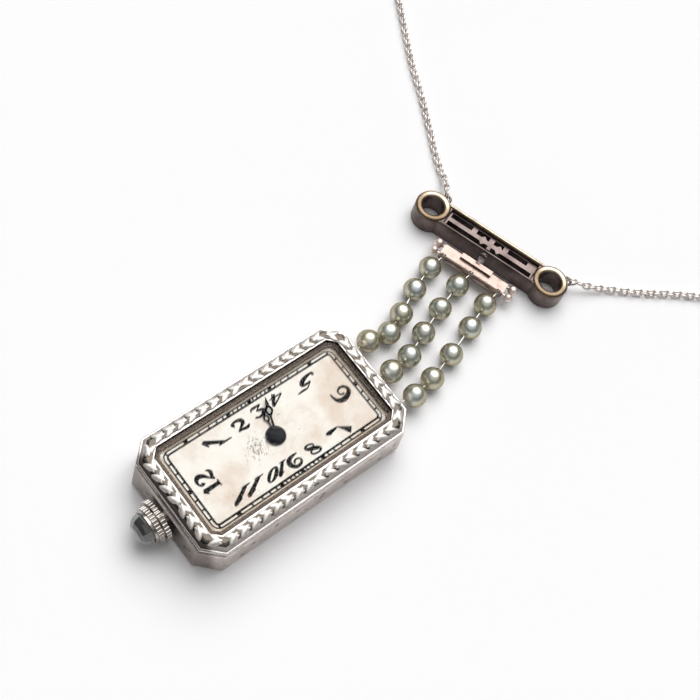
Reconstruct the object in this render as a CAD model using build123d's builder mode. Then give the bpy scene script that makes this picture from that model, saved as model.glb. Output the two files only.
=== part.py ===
from build123d import *
from math import atan2, ceil, cos, degrees, hypot, pi, radians, sin
import os

os.makedirs("parts", exist_ok=True)

# Pendant watch: a long octagonal case that hangs from three strands of pearls,
# a spacer bar and an openwork clip, on a fine chain.
# Z is up from the flat of the case back, Y runs along the case towards the pearls.

# Case: the bottom edge line, the bezel's rim and the lip round the crystal
edge_half_x = 7.57
edge_half_y = 13.94
edge_cut = 2.23
rim_side_step, rim_end_step, rim_cut_step = 0.18, 0.44, 0.28
lip_side_step, lip_end_step, lip_cut_step = 1.76, 1.68, 1.09
rim_half_x = edge_half_x - rim_side_step
rim_half_y = edge_half_y - rim_end_step
rim_cut = edge_cut - rim_cut_step
lip_half_x = rim_half_x - lip_side_step
lip_half_y = rim_half_y - lip_end_step
lip_cut = rim_cut - lip_cut_step
rim_z = 5.1
lip_z = 5.78
wall = 0.85

# Clearances
seat_gap = 0.01
running_gap = 0.03
overrun = 1.0
layer_gap = 0.02

# Heights of the movement's layers
bridge_z = 1.25
bridge_thickness = 0.7
train_height = 1.4
plate_thickness = 0.75
motion_height = 0.5
dial_thickness = 0.35
train_z = bridge_z + bridge_thickness
plate_z = train_z + train_height
plate_top_z = plate_z + plate_thickness
dial_z = plate_top_z + motion_height
dial_top_z = dial_z + dial_thickness

# Plan of the movement
ring_side_width, ring_end_width, ring_cut_step = 1.02, 0.79, 0.63
plate_half_x = edge_half_x - wall - ring_side_width
plate_half_y = edge_half_y - wall - ring_end_width
plate_cut = edge_cut - ring_cut_step
stem_z = train_z + train_height / 2
pivot_radius = 0.1
arbor_radius = 0.2


def octagon(half_x, half_y, cut, mode=Mode.ADD):
    """A rectangle with its four corners cut off, as a face in the current sketch."""
    with BuildLine() as outline:
        Polyline(
            (half_x - cut, half_y),
            (half_x, half_y - cut),
            (half_x, cut - half_y),
            (half_x - cut, -half_y),
            (cut - half_x, -half_y),
            (-half_x, cut - half_y),
            (-half_x, half_y - cut),
            (cut - half_x, half_y),
            close=True,
        )
    make_face(outline.edges(), mode=mode)


def eight_sided(low, high, sizes, top_sizes=None, mode=Mode.ADD):
    """An octagonal block from low to high, straight or drawn in to the top sizes."""
    with BuildSketch(Plane.XY.offset(low)) as foot:
        octagon(*sizes)
    if top_sizes is None:
        extrude(foot.sketch, amount=high - low, mode=mode)
        return
    with BuildSketch(Plane.XY.offset(high)) as top:
        octagon(*top_sizes)
    loft([foot.sketch, top.sketch], ruled=True, mode=mode)


def inset(sizes, distance):
    """The octagon's sizes with every side moved in by a distance."""
    half_x, half_y, cut = sizes
    return half_x - distance, half_y - distance, cut - distance * (2 - 2**0.5)


def disc(centre, low, high, radius, mode=Mode.ADD):
    """An upright cylinder from low to high."""
    with BuildSketch(Plane((centre[0], centre[1], low))) as section:
        Circle(radius)
    extrude(section.sketch, amount=high - low, mode=mode)


def hole(centre, low, high, radius):
    """A round hole that opens downwards at low and ends at high."""
    disc(centre, low - overrun, high, radius, mode=Mode.SUBTRACT)


def toothed(centre, low, high, teeth, module, turn=0.0):
    """A toothed wheel: straight-sided teeth on the pitch circle of its module."""
    root_share, tip_share = 0.24, 0.1
    rise_share, depth_share = 0.75, 1.0
    pitch_radius = teeth * module / 2
    tip_radius = pitch_radius + rise_share * module
    root_radius = pitch_radius - depth_share * module
    step = 360 / teeth
    points = []
    for tooth in range(teeth):
        middle = turn + tooth * step
        for share, radius in (
            (-root_share, root_radius),
            (-tip_share, tip_radius),
            (tip_share, tip_radius),
            (root_share, root_radius),
        ):
            angle = radians(middle + share * step)
            points.append((radius * cos(angle), radius * sin(angle)))
    with BuildSketch(Plane((centre[0], centre[1], low))) as section:
        with BuildLine():
            Polyline(*points, close=True)
        make_face()
    extrude(section.sketch, amount=high - low)


def aim(start, end):
    """The direction in plan from one point to another, in degrees."""
    return degrees(atan2(end[1] - start[1], end[0] - start[0]))


def crossings(centre, low, high, inner, outer, count, turn=0.0):
    """Cuts a wheel's web into spokes."""
    spoke_share = 0.2
    with BuildSketch(Plane((centre[0], centre[1], low))) as windows:
        Circle(outer)
        Circle(inner, mode=Mode.SUBTRACT)
        for spoke in range(count):
            with Locations(Rotation(0, 0, turn + 180 * spoke / count)):
                Rectangle(2 * outer + inner, spoke_share * outer, mode=Mode.SUBTRACT)
    extrude(windows.sketch, amount=high - low, mode=Mode.SUBTRACT)


# Case back: a bevelled tray with a snap lip
edge_sizes = (edge_half_x, edge_half_y, edge_cut)
back_edge_z = 0.5
back_bevel_height = 0.35
back_bevel = 0.6
back_floor = 0.4
lip_height = 0.55
lip_thickness = 0.4
inner_sizes = inset(edge_sizes, wall)

with BuildPart() as case_back:
    eight_sided(0, back_bevel_height, inset(edge_sizes, back_bevel), edge_sizes)
    eight_sided(back_bevel_height, back_edge_z, edge_sizes)
    eight_sided(back_edge_z, back_edge_z + lip_height, inset(inner_sizes, seat_gap))
    eight_sided(
        back_floor,
        back_edge_z + lip_height + overrun,
        inset(inner_sizes, seat_gap + lip_thickness),
        mode=Mode.SUBTRACT,
    )
case_back.part.label = "case_back"
export_step(case_back.part, "parts/case_back.step")

# Case band: the tapered side wall, its groove under the bezel and the neck the bezel snaps on
band_top_z = 4.27
band_taper = 0.16
groove_height = 0.2
neck_inset = 0.42
neck_height = 0.5
neck_wall = 0.45
tube_radius = 0.75
band_end_y = edge_half_y - band_taper * (stem_z - back_edge_z) / (band_top_z - back_edge_z)
neck_sizes = inset(edge_sizes, band_taper + neck_inset)

# Eyes at the pearl end: three staples that the strands hang on
strand_gap = 3.85
pin_radius = 0.18
eye_ring_radius = 0.34
eye_wire_radius = 0.11
eye_reach = eye_ring_radius + eye_wire_radius
eye_clearance = 0.12
staple_half = 0.75
staple_bend = 1.2 * pin_radius
staple_z = 2.1
staple_y = edge_half_y + eye_reach + eye_clearance
staple_depth = 0.4
strand_sides = (-1, 0, 1)
staple_places = [(side * strand_gap, staple_y, staple_z) for side in strand_sides]
staple_foot_y = band_end_y - staple_depth

with BuildPart() as case_band:
    eight_sided(back_edge_z, band_top_z, edge_sizes, inset(edge_sizes, band_taper))
    eight_sided(band_top_z, band_top_z + neck_height, neck_sizes)
    eight_sided(back_edge_z - overrun, plate_top_z, inner_sizes, mode=Mode.SUBTRACT)
    eight_sided(
        plate_top_z,
        band_top_z + neck_height + overrun,
        inset(neck_sizes, neck_wall),
        mode=Mode.SUBTRACT,
    )
    with BuildSketch(Plane.XZ.offset(inner_sizes[1] - overrun)):
        with Locations((0, stem_z)):
            Circle(tube_radius + seat_gap)
    extrude(amount=wall + 2 * overrun, mode=Mode.SUBTRACT)
    with BuildSketch(Plane.XZ.offset(-staple_foot_y)):
        for side in strand_sides:
            for end in (-1, 1):
                with Locations((side * strand_gap + end * staple_half, staple_z)):
                    Circle(pin_radius + seat_gap)
    extrude(amount=-(staple_depth + overrun), mode=Mode.SUBTRACT)
case_band.part.label = "case_band"
export_step(case_band.part, "parts/case_band.step")

with BuildPart() as strand_staples:
    for place in staple_places:
        with BuildLine() as staple_path:
            FilletPolyline(
                (place[0] - staple_half, staple_foot_y, place[2]),
                (place[0] - staple_half, place[1], place[2]),
                (place[0] + staple_half, place[1], place[2]),
                (place[0] + staple_half, staple_foot_y, place[2]),
                radius=staple_bend,
            )
        with BuildSketch(Plane((place[0] - staple_half, staple_foot_y, place[2]), z_dir=(0, 1, 0))):
            Circle(pin_radius)
        sweep(path=staple_path.line)
strand_staples.part.label = "strand_staples"
export_step(strand_staples.part, "parts/strand_staples.step")

# Bezel: a bright flange, a steep facet, the leaf border's bed and the inner lip
rim_sizes = (rim_half_x, rim_half_y, rim_cut)
lip_sizes = (lip_half_x, lip_half_y, lip_cut)
flange_z = band_top_z + groove_height
facet_inset = 0.24
facet_lean = 0.3
facet_top_z = 5.62
border_lean = 0.35
border_top_z = 5.86
border_width = 0.6
ledge_z = dial_top_z + layer_gap
ledge_top_z = 5.3
ledge_width = 0.5

with BuildPart() as bezel:
    eight_sided(flange_z, rim_z, rim_sizes)
    facet_sizes = inset(rim_sizes, facet_inset)
    border_sizes = inset(facet_sizes, facet_lean)
    crest_sizes = inset(border_sizes, border_lean)
    fall_sizes = inset(crest_sizes, border_width)
    eight_sided(rim_z, facet_top_z, facet_sizes, border_sizes)
    eight_sided(facet_top_z, border_top_z, border_sizes, crest_sizes)
    eight_sided(lip_z, border_top_z + overrun, fall_sizes, mode=Mode.SUBTRACT)
    eight_sided(ledge_top_z, lip_z + overrun, lip_sizes, mode=Mode.SUBTRACT)
    for high, hole_sizes in (
        (ledge_top_z + overrun, inset(lip_sizes, ledge_width)),
        (band_top_z + neck_height + seat_gap, inset(neck_sizes, -seat_gap)),
        (ledge_z, inset(lip_sizes, seat_gap)),
    ):
        eight_sided(flange_z - overrun, high, hole_sizes, mode=Mode.SUBTRACT)
bezel.part.label = "bezel"
export_step(bezel.part, "parts/bezel.step")

# Crystal: bevelled glass, hollowed under its flat so that the hands pass
crystal_wall_top_z = 5.74
crystal_top_z = 6.2
crystal_bevel = 0.85
crystal_hollow_z = 5.6
crystal_hollow_inset = 0.75

with BuildPart() as crystal:
    crystal_sizes = inset(lip_sizes, 2 * seat_gap)
    eight_sided(ledge_top_z, crystal_wall_top_z, crystal_sizes)
    eight_sided(crystal_wall_top_z, crystal_top_z, crystal_sizes, inset(crystal_sizes, crystal_bevel))
    hollow_sizes = inset(crystal_sizes, crystal_hollow_inset)
    eight_sided(ledge_top_z - overrun, crystal_hollow_z, hollow_sizes, mode=Mode.SUBTRACT)
crystal.part.label = "crystal"
export_step(crystal.part, "parts/crystal.step")

# Dial with two feet that seat in the main plate
hour_pipe_radius = 0.6
dial_hole_gap = 0.1
dial_hole_radius = hour_pipe_radius + dial_hole_gap
foot_radius = 0.25
foot_places = [(-4.6, 9.6), (4.6, -8.8)]
dial_sizes = inset(lip_sizes, 3 * seat_gap)

with BuildPart() as dial:
    eight_sided(dial_z, dial_top_z, dial_sizes)
    disc((0, 0), dial_z - overrun, dial_top_z + overrun, dial_hole_radius, mode=Mode.SUBTRACT)
    for place in foot_places:
        disc(place, plate_z + plate_thickness / 3, dial_z, foot_radius)
dial.part.label = "dial"
export_step(dial.part, "parts/dial.step")

# Movement ring: fills the case round the plate, and lets the stem through
ring_foot_z = 2.2
ring_gap = 0.05

with BuildPart() as movement_ring:
    eight_sided(ring_foot_z, plate_top_z - seat_gap, inset(inner_sizes, seat_gap))
    eight_sided(
        ring_foot_z - overrun,
        plate_top_z + overrun,
        (plate_half_x + ring_gap, plate_half_y + ring_gap, plate_cut),
        mode=Mode.SUBTRACT,
    )
    with BuildSketch(Plane.XZ.offset(plate_half_y - overrun)):
        with Locations((0, stem_z)):
            Circle(tube_radius + ring_gap)
    extrude(amount=2 * overrun, mode=Mode.SUBTRACT)
movement_ring.part.label = "movement_ring"
export_step(movement_ring.part, "parts/movement_ring.step")

# Places of the arbors in plan, each wheel at its mesh distance from the next
barrel_teeth, centre_leaves = 72, 9
centre_teeth, third_leaves = 64, 8
third_teeth, fourth_leaves = 60, 8
fourth_teeth, escape_leaves = 60, 6
barrel_distance = 4.75
third_distance = 3.4
fourth_distance = 2.7
escape_distance = 2.4
pallet_distance = 1.6
balance_distance = 3.95


def from_place(place, distance, direction):
    """The point at a distance and a direction in degrees from another."""
    return (
        place[0] + distance * cos(radians(direction)),
        place[1] + distance * sin(radians(direction)),
    )


centre_place = (0.0, 0.0)
barrel_place = from_place(centre_place, barrel_distance, -90)
third_place = from_place(centre_place, third_distance, 50)
fourth_place = from_place(third_place, fourth_distance, 158)
escape_place = from_place(fourth_place, escape_distance, 131)
escape_line = 47
balance_place = from_place(escape_place, balance_distance, escape_line)
pallet_place = from_place(escape_place, pallet_distance, escape_line)
barrel_module = 2 * barrel_distance / (barrel_teeth + centre_leaves)
centre_module = 2 * third_distance / (centre_teeth + third_leaves)
third_module = 2 * fourth_distance / (third_teeth + fourth_leaves)
fourth_module = 2 * escape_distance / (fourth_teeth + escape_leaves)

# Winding works: ratchet and crown wheel under the barrel bridge
crown_wheel_teeth, ratchet_teeth = 24, 32
winding_distance = 4.5
winding_module = 2 * winding_distance / (crown_wheel_teeth + ratchet_teeth)
crown_wheel_place = from_place(barrel_place, winding_distance, -90)
crown_wheel_thickness = 0.25
crown_wheel_gap = 0.05
crown_wheel_high = bridge_z - crown_wheel_gap
crown_wheel_low = crown_wheel_high - crown_wheel_thickness
contrate_inner, contrate_outer = 1.45, 1.75
contrate_rise = 0.33
contrate_high = bridge_z + contrate_rise

# Stem line: bearings in the plate, the winding pinion between them
pinion_tip_radius = 1.13
pinion_root_radius = 0.9
pinion_inner_y = crown_wheel_place[1] - contrate_inner
pinion_outer_y = crown_wheel_place[1] - contrate_outer - crown_wheel_gap
pinion_pocket_gap = 0.06
bearing_half_x = 1.35
bearing_inner_y = pinion_outer_y - pinion_pocket_gap
bearing_wall = 0.2
lever_slot_width = plate_half_y + bearing_inner_y - 2 * bearing_wall
lever_slot_y = bearing_inner_y - bearing_wall - lever_slot_width / 2
lever_rest_gap = 0.16
lever_rest_y = bearing_inner_y - bearing_wall - lever_rest_gap
lever_reach = 2.4
lever_drop = 0.1
lever_pivot = (lever_reach, lever_rest_y - lever_drop)
lever_post_radius = 0.14
lever_depth = 0.5
lever_z = train_z - lever_depth
lever_plate = 0.2
lever_gap = 0.02
stem_radius = 0.34

# Where the bridges stand on the plate
pillar_radius = 0.55
barrel_pillars = [(-4.75, -10.3), (4.75, -10.3), (4.85, -2.2)]
train_pillars = [(-4.75, 2.3), (4.75, 5.1)]
cock_pillar = (-4.4, 10.3)
pallet_foot = (-4.1, 7.4)
pallet_pillar_radius = 0.4
pallet_bridge_rise = 0.5
pallet_bridge_z = train_z + pallet_bridge_rise
pallet_bridge_thickness = 0.2
screw_radius = 0.2
screw_length = 1.15
jewel_radius = 0.34
jewel_thickness = 0.3
train_places = [third_place, fourth_place, escape_place]
minute_wheel_distance = 1.9
minute_wheel_place = from_place(centre_place, minute_wheel_distance, -55)
stud_radius = 0.2
centre_arbor_radius = 0.25
barrel_arbor_radius = 0.5
barrel_bearing_depth = 0.45

with BuildPart() as main_plate:
    eight_sided(plate_z, plate_top_z, (plate_half_x, plate_half_y, plate_cut))
    for place in barrel_pillars + train_pillars + [cock_pillar]:
        disc(place, train_z, plate_z, pillar_radius)
    disc(pallet_foot, pallet_bridge_z + pallet_bridge_thickness, plate_z, pallet_pillar_radius)
    bearing_length = plate_half_y + bearing_inner_y
    with BuildSketch(Plane((0, bearing_inner_y - bearing_length / 2, train_z))):
        Rectangle(2 * bearing_half_x, bearing_length)
    extrude(amount=train_height)
    with BuildSketch(Plane((0, lever_slot_y, train_z - overrun))):
        Rectangle(2 * bearing_half_x + overrun, lever_slot_width)
    extrude(amount=stem_z + overrun - train_z + 2 * stem_radius, mode=Mode.SUBTRACT)
    with BuildSketch(Plane.XZ.offset(-bearing_inner_y - overrun)):
        with Locations((0, stem_z)):
            Circle(stem_radius + running_gap)
    extrude(amount=bearing_length + 2 * overrun, mode=Mode.SUBTRACT)
    pocket_length = pinion_inner_y - pinion_outer_y + 2 * pinion_pocket_gap
    with BuildSketch(Plane((0, (pinion_inner_y + pinion_outer_y) / 2, plate_z - overrun))):
        Rectangle(2 * pinion_tip_radius + pinion_pocket_gap, pocket_length)
    pinion_pocket_top = stem_z + pinion_tip_radius + pinion_pocket_gap
    extrude(amount=pinion_pocket_top - plate_z + overrun, mode=Mode.SUBTRACT)
    hole(centre_place, plate_z, plate_top_z + overrun, centre_arbor_radius + running_gap)
    hole(barrel_place, plate_z, plate_z + barrel_bearing_depth, barrel_arbor_radius + running_gap)
    for place in foot_places:
        hole(place, plate_z, plate_top_z + overrun, foot_radius + seat_gap)
    for place in train_places + [pallet_place, balance_place]:
        hole(place, plate_z, plate_z + jewel_thickness, jewel_radius + seat_gap)
    for place in barrel_pillars + train_pillars + [cock_pillar]:
        hole(place, train_z, train_z + screw_length, screw_radius + seat_gap)
    disc(minute_wheel_place, plate_top_z, dial_z - ring_gap, stud_radius)
    disc(lever_pivot, lever_z + lever_plate + lever_gap, plate_z, 2 * lever_post_radius)
    disc(lever_pivot, lever_z, plate_z, lever_post_radius)
main_plate.part.label = "main_plate"
export_step(main_plate.part, "parts/main_plate.step")

# Barrel bridge: carries the barrel and the click's post, over the crown wheel and the ratchet wheel
click_place = (3.45, -6.9)
click_post_radius = 0.14
screw_head_radius = 0.38
screw_head_height = 0.25
bridge_half_x = 5.4
barrel_bridge_low_y = -11.1
barrel_bridge_high_y = -1.5
bridge_gap = 0.15
bridge_corner = 0.8
crown_core_radius = 0.5
crown_screw_hole = 0.5
contrate_gap = 0.12


def screw_hole(place, low, high):
    """A clearance hole with its counterbore, opening downwards."""
    hole(place, low, high + overrun, screw_radius + seat_gap)
    hole(place, low, low + screw_head_height, screw_head_radius + seat_gap)


def jewel_seat(place):
    """The seat of a jewel in the upper face of a bridge."""
    low = train_z - jewel_thickness
    disc(place, low, train_z + overrun, jewel_radius + seat_gap, mode=Mode.SUBTRACT)


with BuildPart() as barrel_bridge:
    with BuildSketch(Plane((0, (barrel_bridge_low_y + barrel_bridge_high_y) / 2, bridge_z))):
        RectangleRounded(2 * bridge_half_x, barrel_bridge_high_y - barrel_bridge_low_y, bridge_corner)
    extrude(amount=bridge_thickness)
    for place in barrel_pillars:
        screw_hole(place, bridge_z, train_z)
    hole(barrel_place, bridge_z, train_z + overrun, barrel_arbor_radius + running_gap)
    with BuildSketch(Plane((crown_wheel_place[0], crown_wheel_place[1], bridge_z - overrun))):
        Circle(contrate_outer + contrate_gap)
        Circle(contrate_inner - contrate_gap, mode=Mode.SUBTRACT)
    extrude(amount=contrate_high + ring_gap - bridge_z + overrun, mode=Mode.SUBTRACT)
    hole(crown_wheel_place, bridge_z, bridge_z + crown_screw_hole, screw_radius + seat_gap)
    disc(click_place, crown_wheel_low, bridge_z, click_post_radius)
    pinion_window = pinion_inner_y - barrel_bridge_low_y + pinion_pocket_gap
    window_y = barrel_bridge_low_y + (pinion_window - overrun) / 2
    with BuildSketch(Plane((0, window_y, bridge_z - overrun))):
        Rectangle(2 * bearing_half_x + pinion_pocket_gap, pinion_window + overrun)
    extrude(amount=bridge_thickness + 2 * overrun, mode=Mode.SUBTRACT)
barrel_bridge.part.label = "barrel_bridge"
export_step(barrel_bridge.part, "parts/barrel_bridge.step")

# Train bridge: carries the centre, third, fourth and escape arbors
train_bridge_low_y = barrel_bridge_high_y + bridge_gap
train_bridge_high_y = 6.1

with BuildPart() as train_bridge:
    with BuildSketch(Plane((0, (train_bridge_low_y + train_bridge_high_y) / 2, bridge_z))):
        RectangleRounded(2 * bridge_half_x, train_bridge_high_y - train_bridge_low_y, bridge_corner)
    extrude(amount=bridge_thickness)
    for place in train_pillars:
        screw_hole(place, bridge_z, train_z)
    for place in train_places + [centre_place]:
        jewel_seat(place)
train_bridge.part.label = "train_bridge"
export_step(train_bridge.part, "parts/train_bridge.step")

# Balance cock and pallet cock, each on one foot
cock_head_radius = 1.5
cock_foot_radius = 0.9
pallet_cock_radius = 0.45

with BuildPart() as balance_cock:
    with BuildSketch(Plane.XY.offset(bridge_z)):
        with Locations(cock_pillar):
            Circle(cock_foot_radius)
        with Locations(balance_place):
            Circle(cock_head_radius)
        make_hull()
    extrude(amount=bridge_thickness)
    screw_hole(cock_pillar, bridge_z, train_z)
    jewel_seat(balance_place)
balance_cock.part.label = "balance_cock"
export_step(balance_cock.part, "parts/balance_cock.step")

with BuildPart() as pallet_cock:
    with BuildSketch(Plane.XY.offset(pallet_bridge_z)):
        with Locations(pallet_foot):
            Circle(pallet_pillar_radius)
        with Locations(pallet_place):
            Circle(pallet_cock_radius)
        make_hull()
    extrude(amount=pallet_bridge_thickness)
    hole(pallet_place, pallet_bridge_z, plate_z, pivot_radius + running_gap)
pallet_cock.part.label = "pallet_cock"
export_step(pallet_cock.part, "parts/pallet_cock.step")

# Jewels: rings pressed into the plate, the bridge and the cock
with BuildPart() as jewels:
    for place in train_places + [pallet_place, balance_place]:
        disc(place, plate_z, plate_z + jewel_thickness, jewel_radius)
        disc(place, plate_z, plate_z + jewel_thickness, pivot_radius + running_gap, mode=Mode.SUBTRACT)
    for place in train_places + [balance_place, centre_place]:
        disc(place, train_z - jewel_thickness, train_z, jewel_radius)
        disc(place, train_z - jewel_thickness, train_z, pivot_radius + running_gap, mode=Mode.SUBTRACT)
jewels.part.label = "jewels"
export_step(jewels.part, "parts/jewels.step")

# Screws: slotted heads seated in the counterbores, and the crown wheel's shouldered screw
slot_width = 0.12
slot_depth = 0.1
crown_screw_head = 0.12
crown_screw_length = 0.45

with BuildPart() as bridge_screws:
    for place in barrel_pillars + train_pillars + [cock_pillar]:
        disc(place, bridge_z, bridge_z + screw_head_height, screw_head_radius)
        disc(place, bridge_z, train_z + screw_length, screw_radius)
        with BuildSketch(Plane((place[0], place[1], bridge_z - overrun))):
            Rectangle(2 * screw_head_radius + overrun, slot_width)
        extrude(amount=slot_depth + overrun, mode=Mode.SUBTRACT)
    crown_screw_low = crown_wheel_low - crown_screw_head
    disc(crown_wheel_place, crown_screw_low, crown_wheel_low - ring_gap, 2 * crown_core_radius)
    disc(crown_wheel_place, crown_screw_low, bridge_z - seat_gap, crown_core_radius)
    disc(crown_wheel_place, bridge_z - seat_gap, bridge_z + crown_screw_length, screw_radius)
bridge_screws.part.label = "bridge_screws"
export_step(bridge_screws.part, "parts/bridge_screws.step")

# Barrel: a toothed drum closed by its cover, the coiled mainspring and the arbor
drum_rise = 0.35
drum_gap = 0.1
drum_z = train_z + drum_rise
drum_top_z = plate_z - drum_gap
drum_floor = 0.12
drum_rim = 0.25
barrel_turn = aim(barrel_place, centre_place)
drum_root_radius = barrel_teeth * barrel_module / 2 - barrel_module
drum_inner_radius = drum_root_radius - drum_rim

with BuildPart() as barrel_drum:
    toothed(barrel_place, drum_z, drum_top_z, barrel_teeth, barrel_module, barrel_turn)
    cover_z = drum_top_z - drum_floor
    disc(barrel_place, drum_z + drum_floor, cover_z, drum_inner_radius, mode=Mode.SUBTRACT)
    hole(barrel_place, drum_z, drum_top_z + overrun, barrel_arbor_radius + running_gap)
barrel_drum.part.label = "barrel_drum"
export_step(barrel_drum.part, "parts/barrel_drum.step")


def ribbon(centre, inner_radius, step, half_turns, thickness, start=0.0):
    """A flat spiral ribbon of half-turn arcs about two centres, each one wider by half a step."""
    with BuildLine() as outline:
        for arc in range(half_turns):
            shift = step / 4 if arc % 2 else -step / 4
            radius = inner_radius + step / 2 * arc
            begin = start + 180 * (arc % 2)
            point = from_place((0, 0), shift, start)
            CenterArc(point, radius, begin, 180)
            CenterArc(point, radius + thickness, begin, 180)
        last_shift = step / 4 if (half_turns - 1) % 2 else -step / 4
        first = from_place((0, 0), -step / 4, start)
        last = from_place((0, 0), last_shift, start)
        outer_radius = inner_radius + step / 2 * (half_turns - 1)
        end_angle = start + 180 * (half_turns % 2)
        for end, radius, angle in (
            (first, inner_radius, start),
            (last, outer_radius, end_angle),
        ):
            Line(from_place(end, radius, angle), from_place(end, radius + thickness, angle))
    make_face(outline.edges())


spring_thickness = 0.12
spring_step = 0.36
spring_half_turns = 14
spring_inner_radius = 1.0

with BuildPart() as mainspring:
    with BuildSketch(Plane((barrel_place[0], barrel_place[1], drum_z + drum_floor + ring_gap))):
        ribbon((0, 0), spring_inner_radius, spring_step, spring_half_turns, spring_thickness)
    extrude(amount=drum_top_z - drum_z - 2 * drum_floor - 2 * ring_gap)
mainspring.part.label = "mainspring"
export_step(mainspring.part, "parts/mainspring.step")

ratchet_low = crown_wheel_low
ratchet_square = 0.6
barrel_pivot_length = 0.4
arbor_core_radius = spring_inner_radius - ring_gap - spring_step / 4

with BuildPart() as barrel_arbor:
    disc(barrel_place, bridge_z, plate_z + barrel_pivot_length, barrel_arbor_radius)
    core_low = drum_z + drum_floor + ring_gap
    disc(barrel_place, core_low, drum_top_z - drum_floor - ring_gap, arbor_core_radius)
    with BuildSketch(Plane((barrel_place[0], barrel_place[1], ratchet_low))):
        Rectangle(ratchet_square, ratchet_square)
    extrude(amount=bridge_z - ratchet_low)
barrel_arbor.part.label = "barrel_arbor"
export_step(barrel_arbor.part, "parts/barrel_arbor.step")

with BuildPart() as ratchet_wheel:
    toothed(barrel_place, ratchet_low, crown_wheel_high, ratchet_teeth, winding_module, -90)
    with BuildSketch(Plane((barrel_place[0], barrel_place[1], ratchet_low - overrun))):
        Rectangle(ratchet_square + 2 * seat_gap, ratchet_square + 2 * seat_gap)
    extrude(amount=2 * overrun + bridge_z, mode=Mode.SUBTRACT)
ratchet_wheel.part.label = "ratchet_wheel"
export_step(ratchet_wheel.part, "parts/ratchet_wheel.step")

contrate_share = 0.34
crown_wheel_turn = 90 + 180 / crown_wheel_teeth

with BuildPart() as crown_wheel:
    toothed(
        crown_wheel_place,
        crown_wheel_low,
        crown_wheel_high,
        crown_wheel_teeth,
        winding_module,
        crown_wheel_turn,
    )
    hole(crown_wheel_place, crown_wheel_low, contrate_high, crown_core_radius + running_gap)
    tooth_width = 2 * pi * contrate_inner / crown_wheel_teeth * contrate_share
    contrate_middle = (contrate_inner + contrate_outer) / 2
    with BuildSketch(Plane((crown_wheel_place[0], crown_wheel_place[1], crown_wheel_high))):
        with PolarLocations(contrate_middle, crown_wheel_teeth, start_angle=crown_wheel_turn):
            Rectangle(contrate_outer - contrate_inner, tooth_width)
    extrude(amount=contrate_high - crown_wheel_high)
crown_wheel.part.label = "crown_wheel"
export_step(crown_wheel.part, "parts/crown_wheel.step")

# Click and its spring beside the ratchet wheel
click_length = 1.35
click_width = 0.35
click_tip_radius = 0.06
click_aim = 168
click_spring_foot = (3.9, -8.9)
click_spring_foot_radius = 0.3
click_spring_end = (2.72, -7.2)
click_spring_half = 0.05

with BuildPart() as click:
    click_tip = from_place(click_place, click_length, click_aim)
    with BuildSketch(Plane.XY.offset(crown_wheel_low)):
        with Locations(click_place):
            Circle(click_width)
        with Locations(click_tip):
            Circle(click_tip_radius)
        make_hull()
    extrude(amount=crown_wheel_high - crown_wheel_low)
    hole(click_place, crown_wheel_low, bridge_z, click_post_radius + running_gap)
click.part.label = "click"
export_step(click.part, "parts/click.step")

with BuildPart() as click_spring:
    with BuildSketch(Plane.XY.offset(crown_wheel_low)):
        with Locations(click_spring_foot, click_spring_end):
            Circle(click_spring_half)
        make_hull()
        with Locations(click_spring_foot):
            Circle(click_spring_foot_radius)
    extrude(amount=crown_wheel_high - crown_wheel_low)
    disc(click_spring_foot, crown_wheel_low, bridge_z, click_spring_foot_radius)
click_spring.part.label = "click_spring"
export_step(click_spring.part, "parts/click_spring.step")

# Going train: each wheel with its pinion and pivots on one arbor
wheel_thickness = 0.15
centre_wheel_rise = 0.08
third_wheel_drop = 0.35
fourth_wheel_rise = 0.45
escape_wheel_drop = 0.4
centre_wheel_z = train_z + centre_wheel_rise
third_wheel_z = plate_z - third_wheel_drop
fourth_wheel_z = train_z + fourth_wheel_rise
escape_wheel_z = plate_z - escape_wheel_drop
pinion_reach = 0.12
third_pinion_drop = 0.04
hub_share = 0.3
web_share = 0.8
fine_arbor_radius = arbor_radius / 1.3
finest_arbor_radius = arbor_radius / 1.8


def arbor(place, radius):
    """An arbor from bridge to plate, with a thinner pivot in the jewel at each end."""
    low, high = train_z + layer_gap, plate_z - layer_gap
    disc(place, low, high, radius)
    disc(place, low - jewel_thickness, high + jewel_thickness, pivot_radius)


def train_wheel(place, low, teeth, module, turn):
    """A crossed-out wheel."""
    pitch_radius = teeth * module / 2
    toothed(place, low, low + wheel_thickness, teeth, module, turn)
    hub, web = hub_share * pitch_radius, web_share * pitch_radius
    crossings(place, low, low + wheel_thickness, hub, web, 2, turn)


mesh_gap = ring_gap
hour_wheel_rise = 0.24
hour_pipe_rise = 0.27
cannon_rise = 0.51
hour_wheel_z = plate_top_z + hour_wheel_rise
hour_pipe_top_z = dial_top_z + hour_pipe_rise
cannon_top_z = dial_top_z + cannon_rise
centre_arbor_top_z = cannon_top_z + ring_gap

with BuildPart() as centre_wheel:
    train_wheel(centre_place, centre_wheel_z, centre_teeth, centre_module, aim(centre_place, third_place))
    centre_pinion_turn = aim(centre_place, barrel_place) + 180 / centre_leaves
    centre_pinion_z = centre_wheel_z + wheel_thickness
    toothed(
        centre_place, centre_pinion_z, drum_top_z, centre_leaves, barrel_module, centre_pinion_turn
    )
    disc(centre_place, train_z + mesh_gap, centre_arbor_top_z, centre_arbor_radius)
    disc(centre_place, train_z - jewel_thickness, train_z + mesh_gap, pivot_radius)
centre_wheel.part.label = "centre_wheel"
export_step(centre_wheel.part, "parts/centre_wheel.step")

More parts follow.
